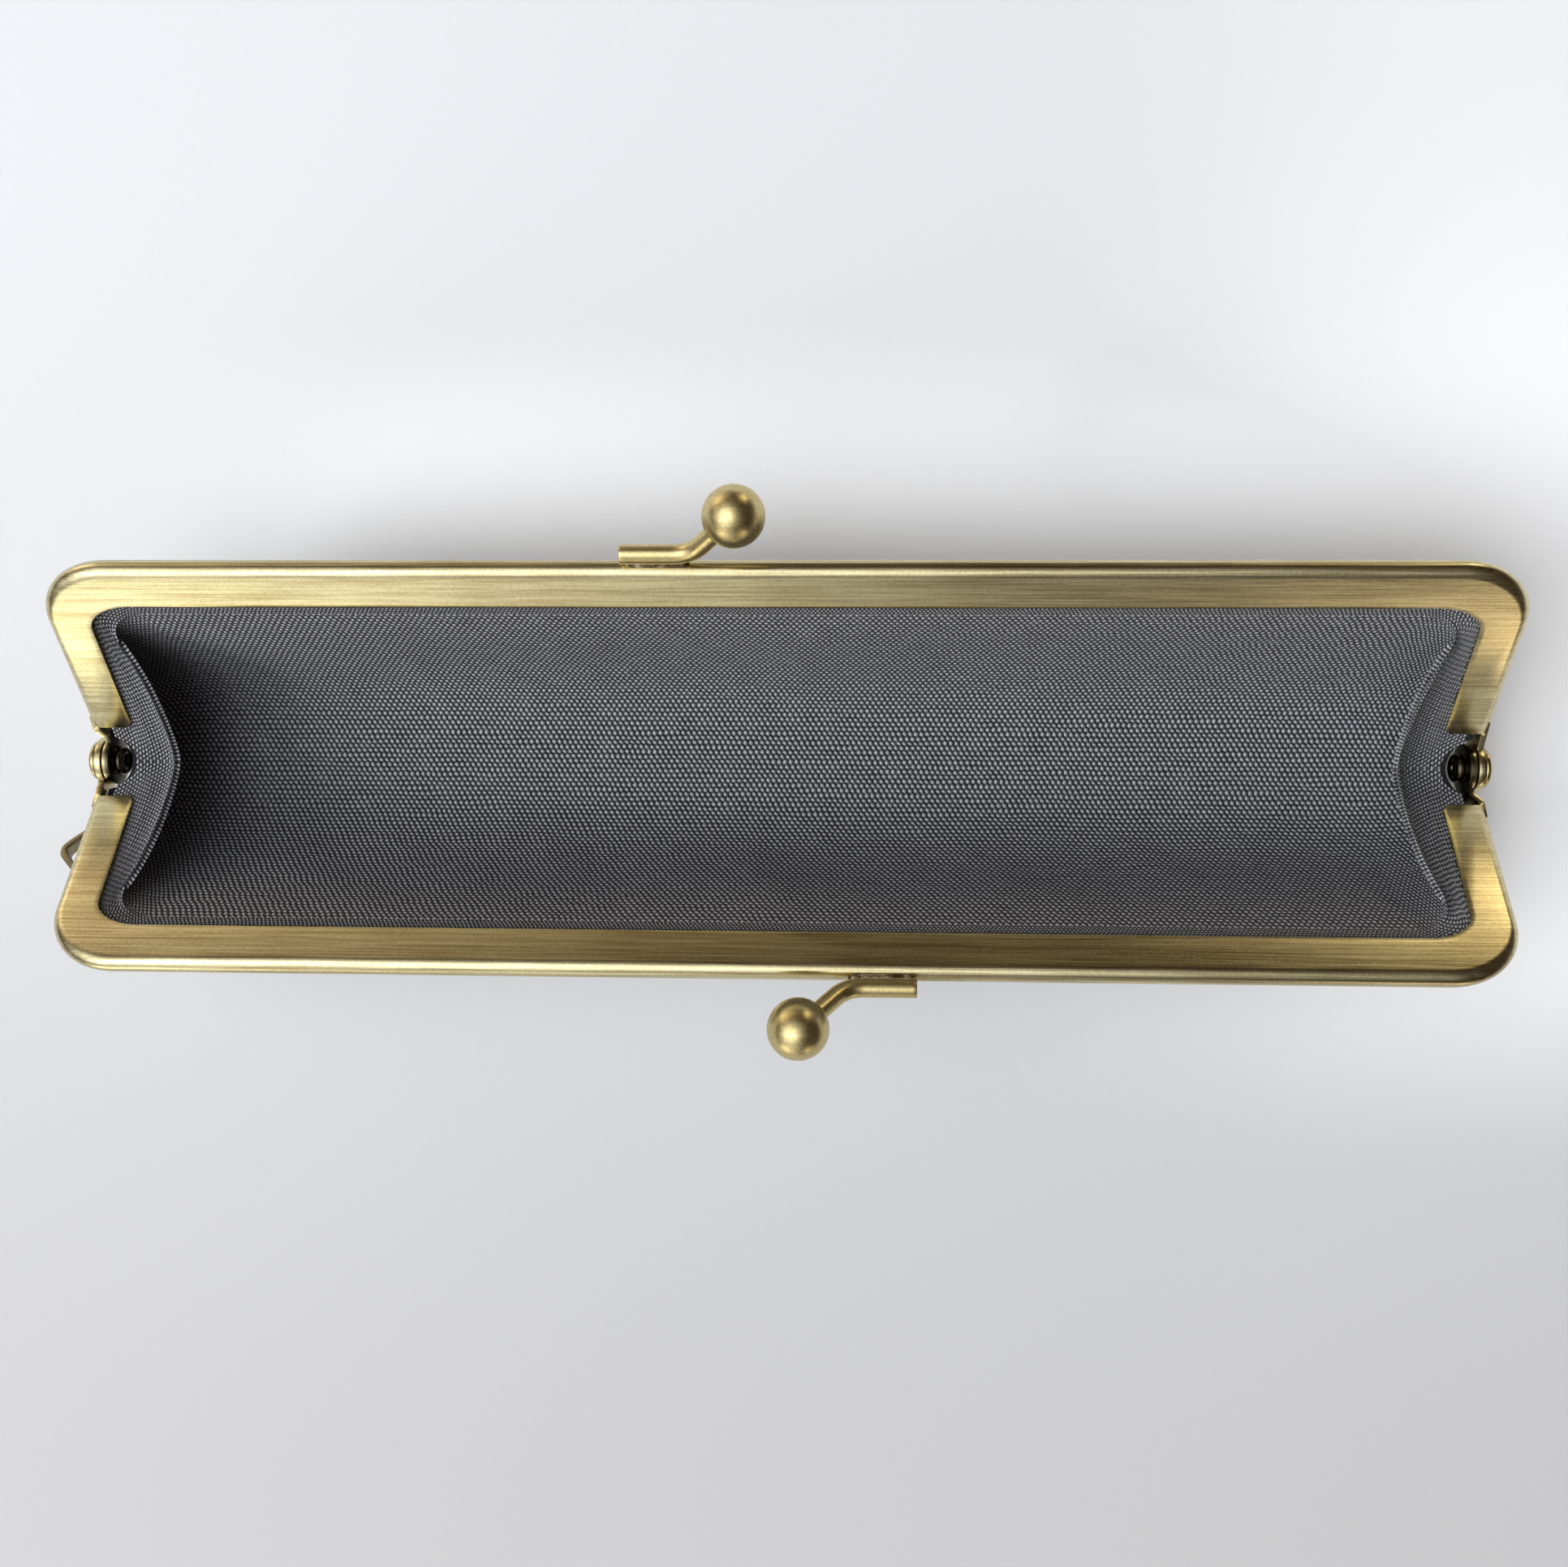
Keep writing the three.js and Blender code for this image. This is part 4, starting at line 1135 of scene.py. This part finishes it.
for half_name, rivet_name in (("rear", "right_rivet"), ("front", "left_rivet")):
    body_name = f"{half_name}_frame"
    ride(frame_channel(half_name), body_name, "antique_brass", f"{half_name}_frame_channel")
    ride(rivet(f"{rivet_name}_turned", half_name), body_name, "rivet_brass", rivet_name)
    ride(clasp_stem(half_name), body_name, "clasp_brass", f"{half_name}_clasp_stem")
    ride(clasp_solder(half_name), body_name, "clasp_brass")
    ride(clasp_ball(half_name), body_name, "clasp_brass", f"{half_name}_clasp_ball")
    ride(paper_cord(half_name), body_name, "paper_cord", f"{half_name}_paper_cord")
ride(strap_loop(), "front_frame", "dark_brass", "strap_loop")
for foot_side in (-1, 1):
    ride(loop_solder(foot_side), "front_frame", "dark_brass")

# Each layer of cloth, from the inside out: how far it lies from the pouch's inner face, its tucked
# edge's offset, depth and depth beside the outer eye's neck, and the fold at its ends
LAYERS = {
    "lining": dict(
        inside=0, thickness=0.4, outward=0.8, tuck_depth=2.7, neck_depth=2.7, pocket_inset=5.4,
        reach=5.7, crest=0.11, ridged=True, material=LINING, slot="lining_canvas"),
    "interlining": dict(
        inside=0.7, thickness=0.3, outward=0.95, tuck_depth=2.7, neck_depth=2.7, pocket_inset=5.4,
        reach=3, crest=0.13, ridged=False, material=INTERLINING, slot="interlining"),
    "outer_fabric": dict(
        inside=1.3, thickness=0.6, outward=0.62, tuck_depth=2.2, neck_depth=1.2, pocket_inset=4.3,
        reach=3, crest=0.13, ridged=False, material=OUTER, slot="outer_canvas"),
}
for node, layer in LAYERS.items():
    grid, crest_row = pouch_grid(layer)
    for half_name in ("rear", "front"):
        piece = cloth_half(f"{node}_{half_name}", half_name, layer, grid, crest_row)
        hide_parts(node)


# Floor, light and camera

# Painted light on the floor: a darker front, a paler rear, and near-white where the case's shadow is
# painted away
FLOOR_NEAR = (0.54, 0.54, 0.55)
FLOOR_FAR = (0.72, 0.74, 0.77)
FLOOR_LIT = (0.97, 0.98, 1.0)


def floor_material():
    """Matt paper with painted light: darker at the front and paler towards the rear, and near-white,
    painted against the case's shadow, where the photo's table is palest: along both sides of the
    case's left half, and round its right end."""
    material, nodes = new_material("paper_floor")
    place_in = nodes.add("ShaderNodeTexCoord").outputs["Object"]
    x, y, _ = nodes.add("ShaderNodeSeparateXYZ", Vector=place_in).outputs
    # Painted light: darker at the front, paler towards the rear
    colour = nodes.mix(nodes.band(y, -0.12, 0.10), rgb(*FLOOR_NEAR), rgb(*FLOOR_FAR))
    # Painted light against the case's shadow: near-white beside the case's left half and round its
    # right end
    away = nodes.math("ABSOLUTE", nodes.math("SUBTRACT", y, 0.025))
    beside = nodes.math("MULTIPLY", nodes.band(x, -0.10, -0.03),
                        nodes.band(away, 0.008, 0.038, 0.9, 0.0))
    right = nodes.math("MULTIPLY", nodes.band(x, 0.03, 0.105), nodes.band(y, -0.06, -0.01, 0.0, 0.9))
    right = nodes.math("MULTIPLY", right, nodes.band(y, 0.04, 0.10, 1.0, 0.45))
    colour = nodes.mix(nodes.math("MAXIMUM", beside, right), colour, rgb(*FLOOR_LIT))
    tooth = nodes.noise(place_in, 700, 3.0)
    bump = nodes.add("ShaderNodeBump", Strength=0.25, Distance=0.0001, Height=tooth)
    finish_material(nodes, Base_Color=colour, Roughness=0.9, Specular_IOR_Level=0.2,
                    Normal=bump.outputs[0])
    return material


def make_floor():
    size, steps = 2.0, 24
    line = np.linspace(-size, size, steps)
    points = [(x, y, 0.0) for y in line for x in line]
    faces = ring_faces(steps, steps, closed_rings=False)
    new_object("floor", points, faces, floor_material())


# What the brass mirrors: the direction, sharpness and colour of each bright patch of the room
WORLD_LOBES = (
    ((-0.42, -0.14, 0.88), 8.0, (3.75, 3.85, 4.00)),
    ((-0.38, -0.90, 0.20), 16.0, (1.25, 1.25, 1.17)),
    ((-0.57, -0.81, 0.10), 60.0, (2.60, 2.60, 2.20)),
    ((0.0, -1.0, 0.15), 8.0, (0.12, 0.12, 0.14)),
    ((0.46, -0.87, 0.14), 150.0, (3.2, 2.7, 2.0)),
    ((-0.34, 0.92, 0.25), 35.0, (0.52, 0.43, 0.31)),
    ((-0.72, 0.68, 0.15), 30.0, (2.50, 2.15, 1.65)),
    ((0.49, 0.84, 0.21), 150.0, (5.6, 4.8, 3.3)),
)
WORLD_BASE = (0.05, 0.035, 0.022)


def make_world():
    """A wide bright window overhead and to the left, and narrow lights round a dim warm room."""
    world = bpy.data.worlds.new("room")
    bpy.context.scene.world = world
    world.use_nodes = True
    nodes = Nodes(world.node_tree)
    place_in = nodes.add("ShaderNodeTexCoord").outputs["Generated"]
    direction = nodes.vector("NORMALIZE", place_in)
    total = nodes.add("ShaderNodeCombineXYZ", **dict(zip("XYZ", WORLD_BASE))).outputs[0]
    for axis, power, colour in WORLD_LOBES:
        facing = nodes.vector("DOT_PRODUCT", direction, tuple(Vector(axis).normalized()))
        lobe = nodes.math("POWER", nodes.math("MAXIMUM", facing, 0.0), power)
        shaded = nodes.add("ShaderNodeVectorMath", i0=colour)
        shaded.operation = "SCALE"
        nodes.set(shaded, "Scale", lobe)
        total = nodes.vector("ADD", total, shaded.outputs[0])
    background = nodes.add("ShaderNodeBackground", Color=total, Strength=1.0)
    output = nodes.add("ShaderNodeOutputWorld")
    nodes.tree.links.new(background.outputs[0], output.inputs[0])


WINDOW_PLACE = (-0.90, -0.20, 0.50)
WINDOW_SIZE = 0.50
WINDOW_POWER = 8.4


def make_window():
    """A round lamp aimed at the case. It doesn't show in the brass."""
    lamp = bpy.data.lights.new("window", "AREA")
    lamp.shape = "DISK"
    lamp.size = WINDOW_SIZE
    lamp.energy = WINDOW_POWER
    obj = linked("window", lamp)
    obj.location = WINDOW_PLACE
    obj.rotation_euler = (-Vector(WINDOW_PLACE)).to_track_quat("-Z", "Y").to_euler()
    obj.visible_glossy = False


# Fitted to the frame's edges in the photo
CAMERA_PLACE = (0.01014, 0.01012, 0.2133)
CAMERA_TILT_DEG = (-3.558, 2.565, 0.362)
CAMERA_LENS = 34.94


def make_camera():
    camera = bpy.data.cameras.new("camera")
    camera.lens = CAMERA_LENS
    camera.sensor_width = 36
    camera.clip_start = 0.005
    obj = linked("camera", camera)
    turn = Matrix.Identity(4)
    for tilt, axis in zip(CAMERA_TILT_DEG, "XYZ"):
        turn = turn @ Matrix.Rotation(math.radians(tilt), 4, axis)
    obj.matrix_world = Matrix.Translation(CAMERA_PLACE) @ turn
    bpy.context.scene.camera = obj


make_floor()
make_world()
make_window()
make_camera()
bpy.context.scene.view_settings.view_transform = "Standard"
